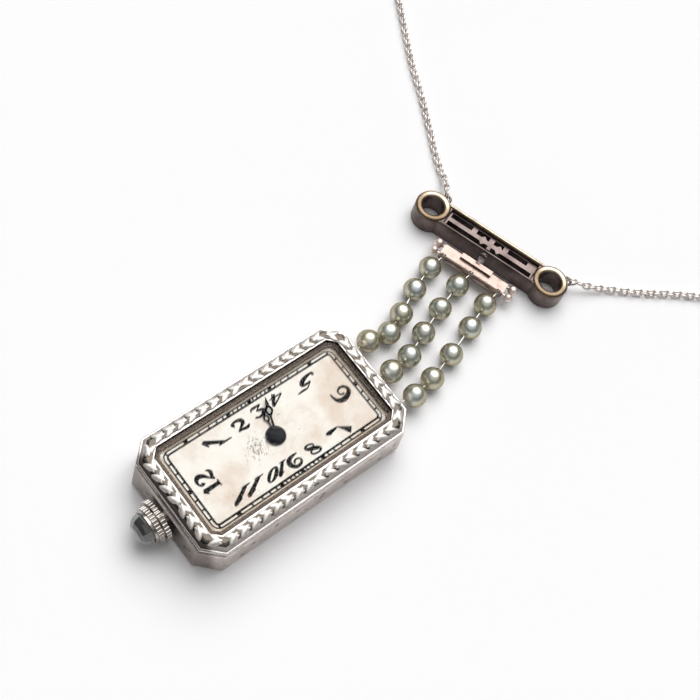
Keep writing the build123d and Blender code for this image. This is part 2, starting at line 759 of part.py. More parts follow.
with BuildPart() as third_wheel:
    train_wheel(third_place, third_wheel_z, third_teeth, third_module, aim(third_place, fourth_place))
    third_pinion_turn = aim(third_place, centre_place) + 180 / third_leaves
    toothed(
        third_place,
        centre_wheel_z - third_pinion_drop,
        centre_wheel_z + wheel_thickness + pinion_reach,
        third_leaves,
        centre_module,
        third_pinion_turn,
    )
    arbor(third_place, arbor_radius)
third_wheel.part.label = "third_wheel"
export_step(third_wheel.part, "parts/third_wheel.step")

with BuildPart() as fourth_wheel:
    train_wheel(fourth_place, fourth_wheel_z, fourth_teeth, fourth_module, aim(fourth_place, escape_place))
    fourth_pinion_turn = aim(fourth_place, third_place) + 180 / fourth_leaves
    toothed(
        fourth_place,
        third_wheel_z - pinion_reach,
        third_wheel_z + wheel_thickness + pinion_reach,
        fourth_leaves,
        third_module,
        fourth_pinion_turn,
    )
    arbor(fourth_place, fine_arbor_radius)
fourth_wheel.part.label = "fourth_wheel"
export_step(fourth_wheel.part, "parts/fourth_wheel.step")

# Escapement: a fifteen-tooth wheel, the fork with its two stones, and the balance
escape_teeth = 15
escape_tip_radius = 1.22
escape_root_radius = 0.92
escape_hub_radius = 0.35
escape_web_radius = 0.72
escape_turn = escape_line - 90 / escape_teeth
escape_plane_high = escape_wheel_z + wheel_thickness
escape_tooth = (
    (escape_root_radius, -6),
    (escape_tip_radius, -1),
    (escape_tip_radius, 1),
    (escape_root_radius, 2.5),
)

with BuildPart() as escape_wheel:
    escape_points = []
    for tooth in range(escape_teeth):
        middle = escape_turn + tooth * 360 / escape_teeth
        for radius, angle in escape_tooth:
            escape_points.append(from_place((0, 0), radius, middle + angle))
    with BuildSketch(Plane((escape_place[0], escape_place[1], escape_wheel_z))):
        with BuildLine():
            Polyline(*escape_points, close=True)
        make_face()
    extrude(amount=wheel_thickness)
    crossings(
        escape_place,
        escape_wheel_z,
        escape_plane_high,
        escape_hub_radius,
        escape_web_radius,
        2,
        escape_turn,
    )
    escape_pinion_turn = aim(escape_place, fourth_place) + 180 / escape_leaves
    toothed(
        escape_place,
        fourth_wheel_z - pinion_reach,
        fourth_wheel_z + wheel_thickness + pinion_reach,
        escape_leaves,
        fourth_module,
        escape_pinion_turn,
    )
    arbor(escape_place, finest_arbor_radius)
escape_wheel.part.label = "escape_wheel"
export_step(escape_wheel.part, "parts/escape_wheel.step")

roller_radius = 0.5
fork_gap = 0.1
fork_length = balance_distance - pallet_distance - roller_radius - fork_gap
stone_spread = 30
stone_gap = 0.2
stone_width = 0.12
stone_length = 0.3
lever_half_width = 0.12
fork_thickness = 0.15
fork_rise = 0.03
fork_z = escape_wheel_z + wheel_thickness + fork_rise
pallet_arbor_radius = 1.2 * lever_half_width
prong_half = 2 * lever_half_width
prong_length = 2.5 * lever_half_width
prong_taper = 4 * lever_half_width
prong_notch = 1.5 * lever_half_width

with BuildPart() as pallet_fork:
    fork_plane = Plane(
        (pallet_place[0], pallet_place[1], fork_z),
        x_dir=(cos(radians(escape_line)), sin(radians(escape_line)), 0),
        z_dir=(0, 0, 1),
    )
    with BuildSketch(fork_plane):
        with BuildLine():
            arm_radius = escape_tip_radius + stone_gap
            arm_x = arm_radius * cos(radians(stone_spread)) - pallet_distance
            arm_y = arm_radius * sin(radians(stone_spread))
            Polyline(
                (fork_length, prong_half),
                (fork_length - prong_length, prong_half),
                (fork_length - prong_taper, lever_half_width),
                (2 * lever_half_width, lever_half_width),
                (arm_x + prong_taper, arm_y + lever_half_width),
                (arm_x + lever_half_width, arm_y + lever_half_width),
                (-lever_half_width, 0),
                (arm_x + lever_half_width, -arm_y - lever_half_width),
                (arm_x + prong_taper, -arm_y - lever_half_width),
                (2 * lever_half_width, -lever_half_width),
                (fork_length - prong_taper, -lever_half_width),
                (fork_length - prong_length, -prong_half),
                (fork_length, -prong_half),
                (fork_length - prong_notch, 0),
                close=True,
            )
        make_face()
    extrude(amount=fork_thickness)
    pallet_arbor_z = pallet_bridge_z + pallet_bridge_thickness + layer_gap
    disc(pallet_place, pallet_arbor_z, plate_z - layer_gap, pallet_arbor_radius)
    disc(pallet_place, pallet_bridge_z, plate_z + jewel_thickness - layer_gap, pivot_radius)
    stone_centre_radius = arm_radius + (stone_length - stone_gap) / 2
    for side in (-1, 1):
        stone_x = stone_centre_radius * cos(radians(stone_spread)) - pallet_distance
        stone_y = side * stone_centre_radius * sin(radians(stone_spread))
        with BuildSketch(fork_plane):
            with Locations(Location((stone_x, stone_y, 0), (0, 0, 1), side * stone_spread)):
                Rectangle(stone_length, stone_width)
        extrude(amount=escape_wheel_z - fork_z)
pallet_fork.part.label = "pallet_fork"
export_step(pallet_fork.part, "parts/pallet_fork.step")

balance_radius = 2.35
balance_rim = 0.3
balance_rise = 0.06
balance_z = train_z + balance_rise
balance_thickness = 0.28
roller_drop = 0.25
roller_z = escape_wheel_z - roller_drop
roller_thickness = 0.12
impulse_radius = 0.06

with BuildPart() as balance_wheel:
    disc(balance_place, balance_z, balance_z + balance_thickness, balance_radius)
    hole(balance_place, balance_z, balance_z + balance_thickness, balance_radius - balance_rim)
    with BuildSketch(Plane((balance_place[0], balance_place[1], balance_z))):
        with Locations(Rotation(0, 0, escape_line)):
            Rectangle(2 * balance_radius - balance_rim, balance_rim)
    extrude(amount=balance_thickness / 2)
    arbor(balance_place, fine_arbor_radius)
    disc(balance_place, roller_z, roller_z + roller_thickness, roller_radius + 2 * impulse_radius)
    impulse_place = from_place(balance_place, roller_radius, escape_line + 180)
    disc(impulse_place, roller_z, fork_z + fork_thickness, impulse_radius)
balance_wheel.part.label = "balance_wheel"
export_step(balance_wheel.part, "parts/balance_wheel.step")

hairspring_thickness = 0.04
hairspring_step = 0.2
hairspring_half_turns = 11
hairspring_inner_radius = 0.3
hairspring_z = balance_z + balance_thickness + balance_rise
hairspring_height = 0.12

with BuildPart() as hairspring:
    with BuildSketch(Plane((balance_place[0], balance_place[1], hairspring_z))):
        ribbon(
            (0, 0),
            hairspring_inner_radius,
            hairspring_step,
            hairspring_half_turns,
            hairspring_thickness,
        )
    extrude(amount=hairspring_height)
hairspring.part.label = "hairspring"
export_step(hairspring.part, "parts/hairspring.step")

# Motion work under the dial
cannon_teeth, minute_teeth, minute_leaves, hour_teeth = 12, 36, 10, 40
cannon_module = 2 * minute_wheel_distance / (cannon_teeth + minute_teeth)
hour_module = 2 * minute_wheel_distance / (minute_leaves + hour_teeth)
cannon_radius = 0.38
motion_rise = 0.04
motion_z = plate_top_z + motion_rise
motion_turn = aim(centre_place, minute_wheel_place)

with BuildPart() as cannon_pinion:
    toothed(centre_place, motion_z, motion_z + wheel_thickness, cannon_teeth, cannon_module, motion_turn)
    disc(centre_place, motion_z, cannon_top_z, cannon_radius)
    hole(centre_place, motion_z, cannon_top_z + overrun, centre_arbor_radius + seat_gap)
cannon_pinion.part.label = "cannon_pinion"
export_step(cannon_pinion.part, "parts/cannon_pinion.step")

with BuildPart() as minute_wheel:
    minute_turn = motion_turn + 180 + 180 / minute_teeth
    leaves_z = motion_z + wheel_thickness
    leaves_turn = motion_turn + 180
    toothed(minute_wheel_place, motion_z, leaves_z, minute_teeth, cannon_module, minute_turn)
    toothed(
        minute_wheel_place, leaves_z, dial_z - ring_gap, minute_leaves, hour_module, leaves_turn
    )
    hole(minute_wheel_place, motion_z, dial_z + overrun, stud_radius + running_gap)
minute_wheel.part.label = "minute_wheel"
export_step(minute_wheel.part, "parts/minute_wheel.step")

with BuildPart() as hour_wheel:
    hour_turn = motion_turn + 180 / hour_teeth
    hour_wheel_top_z = hour_wheel_z + wheel_thickness
    toothed(centre_place, hour_wheel_z, hour_wheel_top_z, hour_teeth, hour_module, hour_turn)
    disc(centre_place, hour_wheel_z, hour_pipe_top_z, hour_pipe_radius)
    disc(centre_place, motion_z, hour_pipe_top_z + overrun, cannon_radius + running_gap, mode=Mode.SUBTRACT)
hour_wheel.part.label = "hour_wheel"
export_step(hour_wheel.part, "parts/hour_wheel.step")

# Hands: a broad boss, a thin shank, an eye and a dart; set at 18.5 minutes past three
minutes_shown = 3 * 60 + 18.5
minute_hand_turn = -90 - minutes_shown * 6
hour_hand_turn = -90 - minutes_shown / 2
hand_thickness = 0.1
hand_drop = 0.14
hour_hand_z = hour_pipe_top_z - hand_drop
minute_hand_z = cannon_top_z - hand_drop
minute_hand_length = 4.35
hour_hand_length = 3.35
hour_boss_radius = 1.1
minute_boss_radius = 0.8
eye_share = 0.62
eye_half_width_share = 0.1
shank_half_width_share = 0.025
eye_start_share, eye_end_share, dart_root_share = 1.6, 1.2, 0.55


def hand(low, turn, length, boss_radius, hole_radius):
    """A hand lying along its own plane's X axis."""
    hand_plane = Plane((0, 0, low), x_dir=(cos(radians(turn)), sin(radians(turn)), 0), z_dir=(0, 0, 1))
    eye_x = eye_share * length
    half_width = eye_half_width_share * length
    shank = shank_half_width_share * length
    eye_start = eye_x - eye_start_share * half_width
    eye_end = eye_x + eye_end_share * half_width
    dart_root = dart_root_share * half_width
    with BuildSketch(hand_plane) as outline:
        with BuildLine():
            Polyline(
                (boss_radius / 2, shank),
                (eye_start, shank),
                (eye_x, half_width),
                (eye_end, dart_root),
                (length, 0),
                (eye_end, -dart_root),
                (eye_x, -half_width),
                (eye_start, -shank),
                (boss_radius / 2, -shank),
                close=True,
            )
        make_face()
        Circle(boss_radius)
        Circle(hole_radius, mode=Mode.SUBTRACT)
    extrude(outline.sketch, amount=hand_thickness)


with BuildPart() as hour_hand:
    hand(hour_hand_z, hour_hand_turn, hour_hand_length, hour_boss_radius, hour_pipe_radius + seat_gap)
hour_hand.part.label = "hour_hand"
export_step(hour_hand.part, "parts/hour_hand.step")

with BuildPart() as minute_hand:
    hand(minute_hand_z, minute_hand_turn, minute_hand_length, minute_boss_radius, cannon_radius + seat_gap)
minute_hand.part.label = "minute_hand"
export_step(minute_hand.part, "parts/minute_hand.step")

# Winding stem, pinion, sliding pinion and setting lever
crown_gap = 0.5
stem_end_reach = 0.05
clutch_start = 0.45
clutch_gap = 0.12
crown_inner_y = -band_end_y - crown_gap
stem_inner_y = crown_wheel_place[1] + stem_end_reach
clutch_inner_y = crown_wheel_place[1] - clutch_start
clutch_outer_y = pinion_inner_y + clutch_gap
clutch_radius = 0.6
neck_radius = 0.2
neck_width = 0.36
stem_in_crown = 0.9
stem_outer_y = crown_inner_y - stem_in_crown
clutch_groove_width = 0.2
clutch_groove_radius = 0.75 * clutch_radius
clutch_groove_y = (clutch_inner_y + clutch_outer_y + clutch_groove_width) / 2


def along_stem(start_y, end_y, radius, mode=Mode.ADD):
    """A cylinder on the stem's line between two places along Y."""
    with BuildSketch(Plane((0, start_y, stem_z), x_dir=(1, 0, 0), z_dir=(0, -1, 0))) as section:
        Circle(radius)
    extrude(section.sketch, amount=start_y - end_y, mode=mode)


with BuildPart() as winding_stem:
    along_stem(stem_inner_y, lever_rest_y + neck_width / 2, stem_radius)
    along_stem(lever_rest_y + neck_width / 2, lever_rest_y - neck_width / 2, neck_radius)
    along_stem(lever_rest_y - neck_width / 2, stem_outer_y, stem_radius)
winding_stem.part.label = "winding_stem"
export_step(winding_stem.part, "parts/winding_stem.step")

pinion_teeth = 12
pinion_tooth = (
    (pinion_root_radius, -7),
    (pinion_tip_radius, -3),
    (pinion_tip_radius, 3),
    (pinion_root_radius, 7),
)

with BuildPart() as winding_pinion:
    pinion_points = []
    for tooth in range(pinion_teeth):
        middle = -90 + tooth * 360 / pinion_teeth
        for radius, angle in pinion_tooth:
            pinion_points.append(from_place((0, 0), radius, middle + angle))
    with BuildSketch(Plane((0, pinion_inner_y, stem_z), x_dir=(1, 0, 0), z_dir=(0, -1, 0))):
        with BuildLine():
            Polyline(*pinion_points, close=True)
        make_face()
    extrude(amount=pinion_inner_y - pinion_outer_y)
    along_stem(stem_inner_y, stem_outer_y, stem_radius + running_gap, mode=Mode.SUBTRACT)
winding_pinion.part.label = "winding_pinion"
export_step(winding_pinion.part, "parts/winding_pinion.step")

with BuildPart() as sliding_pinion:
    along_stem(clutch_inner_y, clutch_outer_y, clutch_radius)
    with BuildSketch(Plane((0, clutch_groove_y, stem_z), x_dir=(1, 0, 0), z_dir=(0, -1, 0))):
        Circle(clutch_radius + overrun)
        Circle(clutch_groove_radius, mode=Mode.SUBTRACT)
    extrude(amount=clutch_groove_width, mode=Mode.SUBTRACT)
    along_stem(stem_inner_y + overrun, stem_outer_y, stem_radius + running_gap, mode=Mode.SUBTRACT)
sliding_pinion.part.label = "sliding_pinion"
export_step(sliding_pinion.part, "parts/sliding_pinion.step")

lever_pin_radius = 0.1
lever_head_radius = 0.35
lever_nose_radius = 1.6 * lever_pin_radius

with BuildPart() as setting_lever:
    with BuildSketch(Plane.XY.offset(lever_z)):
        with Locations(lever_pivot):
            Circle(lever_head_radius)
        with Locations((0, lever_rest_y)):
            Circle(lever_nose_radius)
        make_hull()
    extrude(amount=lever_plate)
    disc((0, lever_rest_y), lever_z, stem_z - neck_radius - running_gap, lever_pin_radius)
    hole(lever_pivot, lever_z, train_z + overrun, lever_post_radius + running_gap)
setting_lever.part.label = "setting_lever"
export_step(setting_lever.part, "parts/setting_lever.step")

# Case tube, crown and the stone in the crown's end
tube_in_crown = 0.55
tube_recess = 0.15
tube_gap = 0.08
tube_outer_y = crown_inner_y - tube_in_crown
crown_radius = 2.42
crown_second_radius = 2.12
crown_ring_length = 0.52
crown_waist = 0.16
crown_cup_length = 0.3
crown_cup_radius = 1.85
stone_radius = 1.7
stone_seat = 0.3
stone_rise = 1.3
stone_band = 0.25

with BuildPart() as case_tube:
    along_stem(-inner_sizes[1] - seat_gap, tube_outer_y, tube_radius)
    tube_bore = stem_radius + 2 * running_gap
    along_stem(overrun - inner_sizes[1], tube_outer_y - overrun, tube_bore, mode=Mode.SUBTRACT)
case_tube.part.label = "case_tube"
export_step(case_tube.part, "parts/case_tube.step")

ring_one_y = crown_inner_y - crown_ring_length
ring_two_y = ring_one_y - crown_waist - crown_ring_length
crown_end_y = ring_two_y - crown_cup_length
bead_count = 32
bead_radius = 0.17

with BuildPart() as crown:
    along_stem(crown_inner_y, ring_one_y, crown_radius - bead_radius)
    along_stem(ring_one_y, ring_one_y - crown_waist, crown_second_radius - 2 * bead_radius)
    along_stem(ring_one_y - crown_waist, ring_two_y, crown_second_radius - bead_radius)
    along_stem(ring_two_y, crown_end_y, crown_cup_radius)
    with BuildSketch(Plane((0, crown_inner_y, stem_z), x_dir=(1, 0, 0), z_dir=(0, -1, 0))):
        with PolarLocations(crown_radius - bead_radius, bead_count):
            Circle(bead_radius)
    extrude(amount=crown_ring_length)
    with BuildSketch(Plane((0, ring_one_y - crown_waist, stem_z), x_dir=(1, 0, 0), z_dir=(0, -1, 0))):
        with PolarLocations(crown_second_radius - bead_radius, bead_count):
            Circle(bead_radius)
    extrude(amount=crown_ring_length)
    for start, end, radius in (
        (crown_end_y + stone_seat, crown_end_y - overrun, stone_radius + seat_gap),
        (crown_inner_y + overrun, tube_outer_y - tube_recess, tube_radius + tube_gap),
        (crown_inner_y + overrun, stem_outer_y - seat_gap, stem_radius + seat_gap),
    ):
        along_stem(start, end, radius, mode=Mode.SUBTRACT)
crown.part.label = "crown"
export_step(crown.part, "parts/crown.step")

with BuildPart() as crown_stone:
    seat_y = crown_end_y + stone_seat - seat_gap
    with BuildSketch(Plane((0, 0, stem_z), x_dir=(0, -1, 0), z_dir=(1, 0, 0))):
        with BuildLine():
            dome_y = -seat_y + stone_seat + stone_band
            tip_y = dome_y + stone_rise
            dome_radius = (stone_radius**2 + stone_rise**2) / (2 * stone_rise)
            dome_half = atan2(stone_radius, dome_radius - stone_rise) / 2
            dome_centre = tip_y - dome_radius
            dome_middle = from_place((dome_centre, 0), dome_radius, degrees(dome_half))
            Polyline((-seat_y, 0), (-seat_y, stone_radius), (dome_y, stone_radius))
            ThreePointArc((dome_y, stone_radius), dome_middle, (tip_y, 0))
            Line((tip_y, 0), (-seat_y, 0))
        make_face()
    revolve(axis=Axis((0, 0, stem_z), (0, 1, 0)))
crown_stone.part.label = "crown_stone"
export_step(crown_stone.part, "parts/crown_stone.step")

# Spacer bar: turned a little from the case, it carries the strands on one pin, the clip on the other
bar_centre = (-4.55, 33.45)
bar_z = 1.45
bar_yaw = 18.8
bar_half = 4.4
bar_tube_radius = 0.5
pin_offset = 0.6
pin_ball_near = 0.5
pin_ball_far = 0.6
ball_reach = 5.2
eye_width = 0.5
eye_notch_radius = 0.5
crest_half = 2.1
crest_width = 0.7
crest_height = 0.85
bar_web = 1.5 * bar_tube_radius
bar_axis = (cos(radians(bar_yaw)), sin(radians(bar_yaw)), 0)
bar_plane = Plane((bar_centre[0], bar_centre[1], bar_z), x_dir=bar_axis, z_dir=(0, 0, 1))


def bar_point(along, across, up=0.0):
    """A point given along, across and above the spacer bar, in the part's frame."""
    return bar_plane.from_local_coords((along, across, up))


def bar_tube(start, end, across, radius, mode=Mode.ADD):
    """A cylinder along the bar between two places."""
    with BuildSketch(Plane(bar_point(start, across), x_dir=(0, 0, 1), z_dir=bar_axis)) as section:
        Circle(radius)
    extrude(section.sketch, amount=end - start, mode=mode)


with BuildPart() as spacer_bar:
    bar_tube(-bar_half, bar_half, -pin_offset, bar_tube_radius)
    bar_tube(-bar_half, bar_half, pin_offset, bar_tube_radius)
    with BuildSketch(bar_plane.offset(-bar_tube_radius / 2)):
        Rectangle(2 * bar_half, 2 * pin_offset)
    extrude(amount=bar_web)
    with BuildSketch(bar_plane):
        with Locations((0, pin_offset - crest_width / 4)):
            Rectangle(2 * crest_half, crest_width)
    extrude(amount=crest_height)
    notches = [(side * strand_gap, -pin_offset) for side in strand_sides] + [(0, pin_offset)]
    for along, across in notches:
        start, end = along - eye_width / 2, along + eye_width / 2
        bar_tube(start, end, across, eye_notch_radius, mode=Mode.SUBTRACT)
    with BuildSketch(bar_plane.offset(-overrun)):
        with Locations((0, pin_offset + crest_width / 2)):
            Rectangle(eye_width, crest_width + eye_notch_radius / 2)
    extrude(amount=2 * overrun, mode=Mode.SUBTRACT)
    bore_half = bar_half + overrun
    for across in (-pin_offset, pin_offset):
        bar_tube(-bore_half, bore_half, across, pin_radius + seat_gap, mode=Mode.SUBTRACT)
spacer_bar.part.label = "spacer_bar"
export_step(spacer_bar.part, "parts/spacer_bar.step")

with BuildPart() as strand_pin:
    bar_tube(-ball_reach, ball_reach, -pin_offset, pin_radius)
    for end in (-1, 1):
        with Locations(bar_point(end * ball_reach, -pin_offset)):
            Sphere(pin_ball_near)
strand_pin.part.label = "strand_pin"
export_step(strand_pin.part, "parts/strand_pin.step")

with BuildPart() as clip_pin:
    bar_tube(-ball_reach, ball_reach, pin_offset, pin_radius)
    for end in (-1, 1):
        with Locations(bar_point(end * ball_reach, pin_offset)):
            Sphere(pin_ball_far)
clip_pin.part.label = "clip_pin"
export_step(clip_pin.part, "parts/clip_pin.step")

# Pearls: five on each wire, spaced as the slack strand lies; shares of the strand's reach and gap
pearl_radius = 1.375
strand_reach = 17.6
bore_gap = 0.05
pearl_along_shares = {
    -1: (0.120, 0.285, 0.446, 0.639, 0.833),
    0: (0.113, 0.293, 0.480, 0.691, 0.905),
    1: (0.130, 0.315, 0.535, 0.770, 0.972),
}
pearl_side_shares = {
    -1: (-1.05, -0.95, -1.25, -1.67, -1.99),
    0: (0.09, -0.03, -0.38, -0.73, -1.04),
    1: (1.06, 0.92, 0.63, 0.27, -0.07),
}
pearl_lift_shares = (0.42, 0.08, 0.02, 0.02, 0.04)


def pearl_points(side):
    """The centres of one strand's pearls, from the case to the bar."""
    return [
        (
            across * strand_gap,
            staple_y + along * strand_reach,
            pearl_radius * (1 + lift),
        )
        for along, across, lift in zip(
            pearl_along_shares[side], pearl_side_shares[side], pearl_lift_shares
        )
    ]


def toward(start, end, distance):
    """The point at a distance from one point on the way to another."""
    direction = (Vector(end) - Vector(start)).normalized()
    return Vector(start) + direction * distance


def strand_route(side):
    """The wire's points: out of one eye, through the pearls, into the other."""
    near_eye = Vector(side * strand_gap, staple_y, staple_z)
    far_eye = bar_point(side * strand_gap, -pin_offset)
    centres = pearl_points(side)
    start = toward(near_eye, centres[0], eye_ring_radius)
    end = toward(far_eye, centres[-1], eye_ring_radius)
    return near_eye, far_eye, [start] + [Vector(*centre) for centre in centres] + [end]


for side, name in zip(strand_sides, ("left", "middle", "right")):
    near_eye, far_eye, route = strand_route(side)
    wire_start = Plane(route[0], z_dir=route[1] - route[0])
    with BuildPart() as wire:
        with BuildLine() as wire_path:
            FilletPolyline(*route, radius=pearl_radius / 2)
        with BuildSketch(wire_start):
            Circle(eye_wire_radius)
        sweep(path=wire_path.line)
        with Locations(Plane(near_eye, z_dir=(1, 0, 0)).location):
            Torus(eye_ring_radius, eye_wire_radius)
        with Locations(Plane(far_eye, z_dir=bar_axis).location):
            Torus(eye_ring_radius, eye_wire_radius)
    wire.part.label = "wire_" + name
    export_step(wire.part, "parts/wire_" + name + ".step")

    with BuildPart() as pearls:
        with Locations(*pearl_points(side)):
            Sphere(pearl_radius)
        with BuildLine() as bore_path:
            FilletPolyline(*route, radius=pearl_radius / 2)
        with BuildSketch(wire_start):
            Circle(eye_wire_radius + bore_gap)
        sweep(path=bore_path.line, mode=Mode.SUBTRACT)
    pearls.part.label = "pearls_" + name
    export_step(pearls.part, "parts/pearls_" + name + ".step")

# Clip: a frame with a loop at each end, and an openwork insert between its rails
clip_across = 3.9
clip_z = 0.05
clip_height = 2.5
clip_half_length = 8.3
clip_half_width = 1.6
loop_radius = 2.2
loop_hole_radius = 1.3
rail_width = 0.45
insert_half_length = 6.1
insert_z = 0.85
insert_height = 1.25
link_bar_radius = 0.2
link_notch_half = 0.42
link_bar_half = link_notch_half + rail_width
end_eye_radius = 0.5
end_eye_wire = 0.16
bead_accent_radius = 0.42
bead_accent_lift = 0.75
clip_plane = Plane(bar_point(0, clip_across), x_dir=bar_axis, z_dir=(0, 0, 1))
clip_base = clip_plane.offset(clip_z - bar_z)
left_eye = (-7.64, 2.64)
right_eye = (9.87, 2.13)
link_bar_across = clip_across - clip_half_width + rail_width / 2

with BuildPart() as clip_frame:
    with BuildSketch(clip_base):
        Rectangle(2 * clip_half_length, 2 * clip_half_width)
        for end in (-1, 1):
            with Locations((end * clip_half_length, 0)):
                Circle(loop_radius)
        for end in (-1, 1):
            with Locations((end * clip_half_length, 0)):
                Circle(loop_hole_radius, mode=Mode.SUBTRACT)
        Rectangle(2 * insert_half_length, 2 * (clip_half_width - rail_width), mode=Mode.SUBTRACT)
    extrude(amount=clip_height)
    top_edges = clip_frame.edges().group_by(Axis.Z)[-1]
    chamfer(top_edges, length=rail_width / 4)
    with BuildSketch(clip_base.offset(-overrun)):
        with Locations((0, -clip_half_width + rail_width / 2)):
            Rectangle(2 * link_notch_half, rail_width + seat_gap)
    extrude(amount=clip_height + 2 * overrun, mode=Mode.SUBTRACT)
    bar_tube(-link_bar_half, link_bar_half, link_bar_across, link_bar_radius)
    for place in (left_eye, right_eye):
        with Locations(clip_plane.from_local_coords((place[0], place[1], 0))):
            Torus(end_eye_radius, end_eye_wire)
    for end in (-1, 1):
        accent = (end * insert_half_length, clip_half_width, bead_accent_lift)
        with Locations(clip_plane.from_local_coords(accent)):
            Sphere(bead_accent_radius)
clip_frame.part.label = "clip_frame"
export_step(clip_frame.part, "parts/clip_frame.step")

# Openwork: a waved band between the rails, with posts to the far rail
post_shares = (-0.42, -0.02, 0.3)
band_half = 0.28
insert_frame = 0.22
link_room = 0.3
end_post_share, end_post_width_share = 0.9, 0.2
diamond_share = 0.36
diamond_radius = 2.3 * band_half

with BuildPart() as clip_openwork:
    half_width = clip_half_width - rail_width - seat_gap
    half_length = insert_half_length - seat_gap
    with BuildSketch(clip_base.offset(insert_z)):
        Rectangle(2 * half_length, 2 * half_width)
        open_length, open_width = half_length - insert_frame, half_width - insert_frame
        Rectangle(2 * open_length, 2 * open_width, mode=Mode.SUBTRACT)
        Rectangle(2 * half_length - insert_frame, 2 * band_half)
        for share in post_shares:
            with Locations((share * half_length, half_width / 2)):
                Rectangle(3 * insert_frame, half_width)
        with Locations((0, -half_width / 2)):
            Rectangle(2 * insert_frame, half_width)
        with Locations((end_post_share * half_length, half_width / 2)):
            Rectangle(end_post_width_share * half_length, half_width)
        with GridLocations(diamond_share * half_length, 0, 2, 1):
            RegularPolygon(diamond_radius, 4)
    extrude(amount=insert_height)
    groove_radius = link_bar_radius + seat_gap
    bar_tube(-link_bar_half, link_bar_half, link_bar_across, groove_radius, mode=Mode.SUBTRACT)
    with BuildSketch(clip_base.offset(-overrun)):
        with Locations((0, -half_width)):
            Rectangle(2 * link_notch_half, 2 * insert_frame + link_room)
    extrude(amount=clip_height + 2 * overrun, mode=Mode.SUBTRACT)
clip_openwork.part.label = "clip_openwork"
export_step(clip_openwork.part, "parts/clip_openwork.step")

# Link: a small plate with an eye at each end, from the bar's far pin to the clip's near rail
link_thickness = 0.36
link_eye_radius = 0.44
link_neck_half = 0.22
link_hole = pin_radius + seat_gap + running_gap
clip_link_hole = link_bar_radius + running_gap

with BuildPart() as clip_link:
    link_side = bar_point(-link_thickness / 2, 0)
    with BuildSketch(Plane(link_side, x_dir=bar_plane.y_dir, z_dir=bar_axis)):
        for across in (pin_offset, link_bar_across):
            with Locations((across, 0)):
                Circle(link_eye_radius)
        with Locations(((pin_offset + link_bar_across) / 2, 0)):
            Rectangle(link_bar_across - pin_offset, 2 * link_neck_half)
        with Locations((pin_offset, 0)):
            Circle(link_hole, mode=Mode.SUBTRACT)
        with Locations((link_bar_across, 0)):
            Circle(clip_link_hole, mode=Mode.SUBTRACT)
    extrude(amount=link_thickness)
clip_link.part.label = "clip_link"
export_step(clip_link.part, "parts/clip_link.step")

# Chain: two halves, each a free stretch and the length put away in a flat coil
chain_diameter = 1.0
jump_ring_radius = 0.62
jump_ring_wire = 0.15
end_ring_radius = 0.6
end_ring_wire = 0.13
end_gap = 0.02
floor_z = chain_diameter / 2
left_route = [
    (-14.95, 38.1, 1.45),
    (-16.35, 39.3, 0.85),
    (-18.0, 39.95, 0.55),
    (-20.3, 41.05, 0.5),
    (-23.4, 42.8, 0.5),
    (-28.0, 45.3, 0.5),
    (-32.6, 47.45, 0.5),
    (-37.2, 50.1, 0.5),
    (-41.9, 52.9, 0.5),
    (-46.9, 55.5, 0.5),
    (-51.5, 58.4, 0.5),
]
right_route = [
    (3.82, 43.36, 1.45),
    (5.1, 44.75, 0.85),
    (6.6, 47.05, 0.5),
    (8.0, 48.7, 0.5),
    (9.7, 51.0, 0.5),
    (11.55, 53.7, 0.5),
    (13.6, 56.2, 0.5),
    (17.2, 61.3, 0.5),
    (21.2, 66.0, 0.5),
]
coil_inner_radius = 4.0
coil_step = 1.45
coil_half_turns = 8
bend_share = 0.45


def tangent_radii(points):
    """The arc at each corner of a route: as large as its two runs allow."""
    radii = []
    for before, here, after in zip(points, points[1:], points[2:]):
        run_in = Vector(*here) - Vector(*before)
        run_out = Vector(*after) - Vector(*here)
        half_turn = radians(run_in.get_angle(run_out)) / 2
        reach = bend_share * min(run_in.length, run_out.length)
        radii.append(reach * cos(half_turn) / sin(half_turn))
    return radii


def chain_stretch(route, name):
    """A free stretch of the chain, its solid written out."""
    points = [Vector(*point) for point in route]
    with BuildPart() as stretch:
        with BuildLine() as stretch_path:
            FilletPolyline(*points, radius=tangent_radii(route))
        with BuildSketch(Plane(points[0], z_dir=points[1] - points[0])):
            Circle(chain_diameter / 2)
        sweep(path=stretch_path.line)
    length = stretch_path.wire().length
    section = pi * chain_diameter**2 / 4
    ratio = stretch.part.volume / (section * length)
    print(name, "length", round(length, 2), "volume ratio", round(ratio, 4))
    print(name, "bend radii", [round(radius, 1) for radius in tangent_radii(route)])
    stretch.part.label = name
    export_step(stretch.part, "parts/" + name + ".step")


def coil_plane(route, winding):
    """The plane a coil lies in: centred on the coil, its X axis towards where the chain comes in."""
    end = Vector(*route[-1])
    heading = (end - Vector(*route[-2])).normalized()
    outward = Vector(heading.Y, -heading.X, 0) * winding
    outer_radius = coil_inner_radius + coil_step / 2 * (coil_half_turns - 1)
    return Plane(end - outward * (outer_radius + coil_step / 4), x_dir=outward, z_dir=(0, 0, 1))


def coil_arcs():
    """Each half turn of the coil, from the outside in: its centre's shift and its radius."""
    arcs = []
    for arc in range(coil_half_turns):
        shift = coil_step / 4 if arc % 2 == 0 else -coil_step / 4
        arcs.append((shift, coil_inner_radius + coil_step / 2 * (coil_half_turns - 1 - arc)))
    return arcs


def least_gap(line):
    """The least space from one turn of a coil to the next, measured on points."""
    count = 240
    points = [line.position_at(index / count) for index in range(count + 1)]
    apart = ceil(count * pi * coil_inner_radius / line.length)
    gaps = [
        (points[first] - points[second]).length
        for first in range(count + 1)
        for second in range(first + apart, count + 1)
    ]
    return min(gaps) - chain_diameter


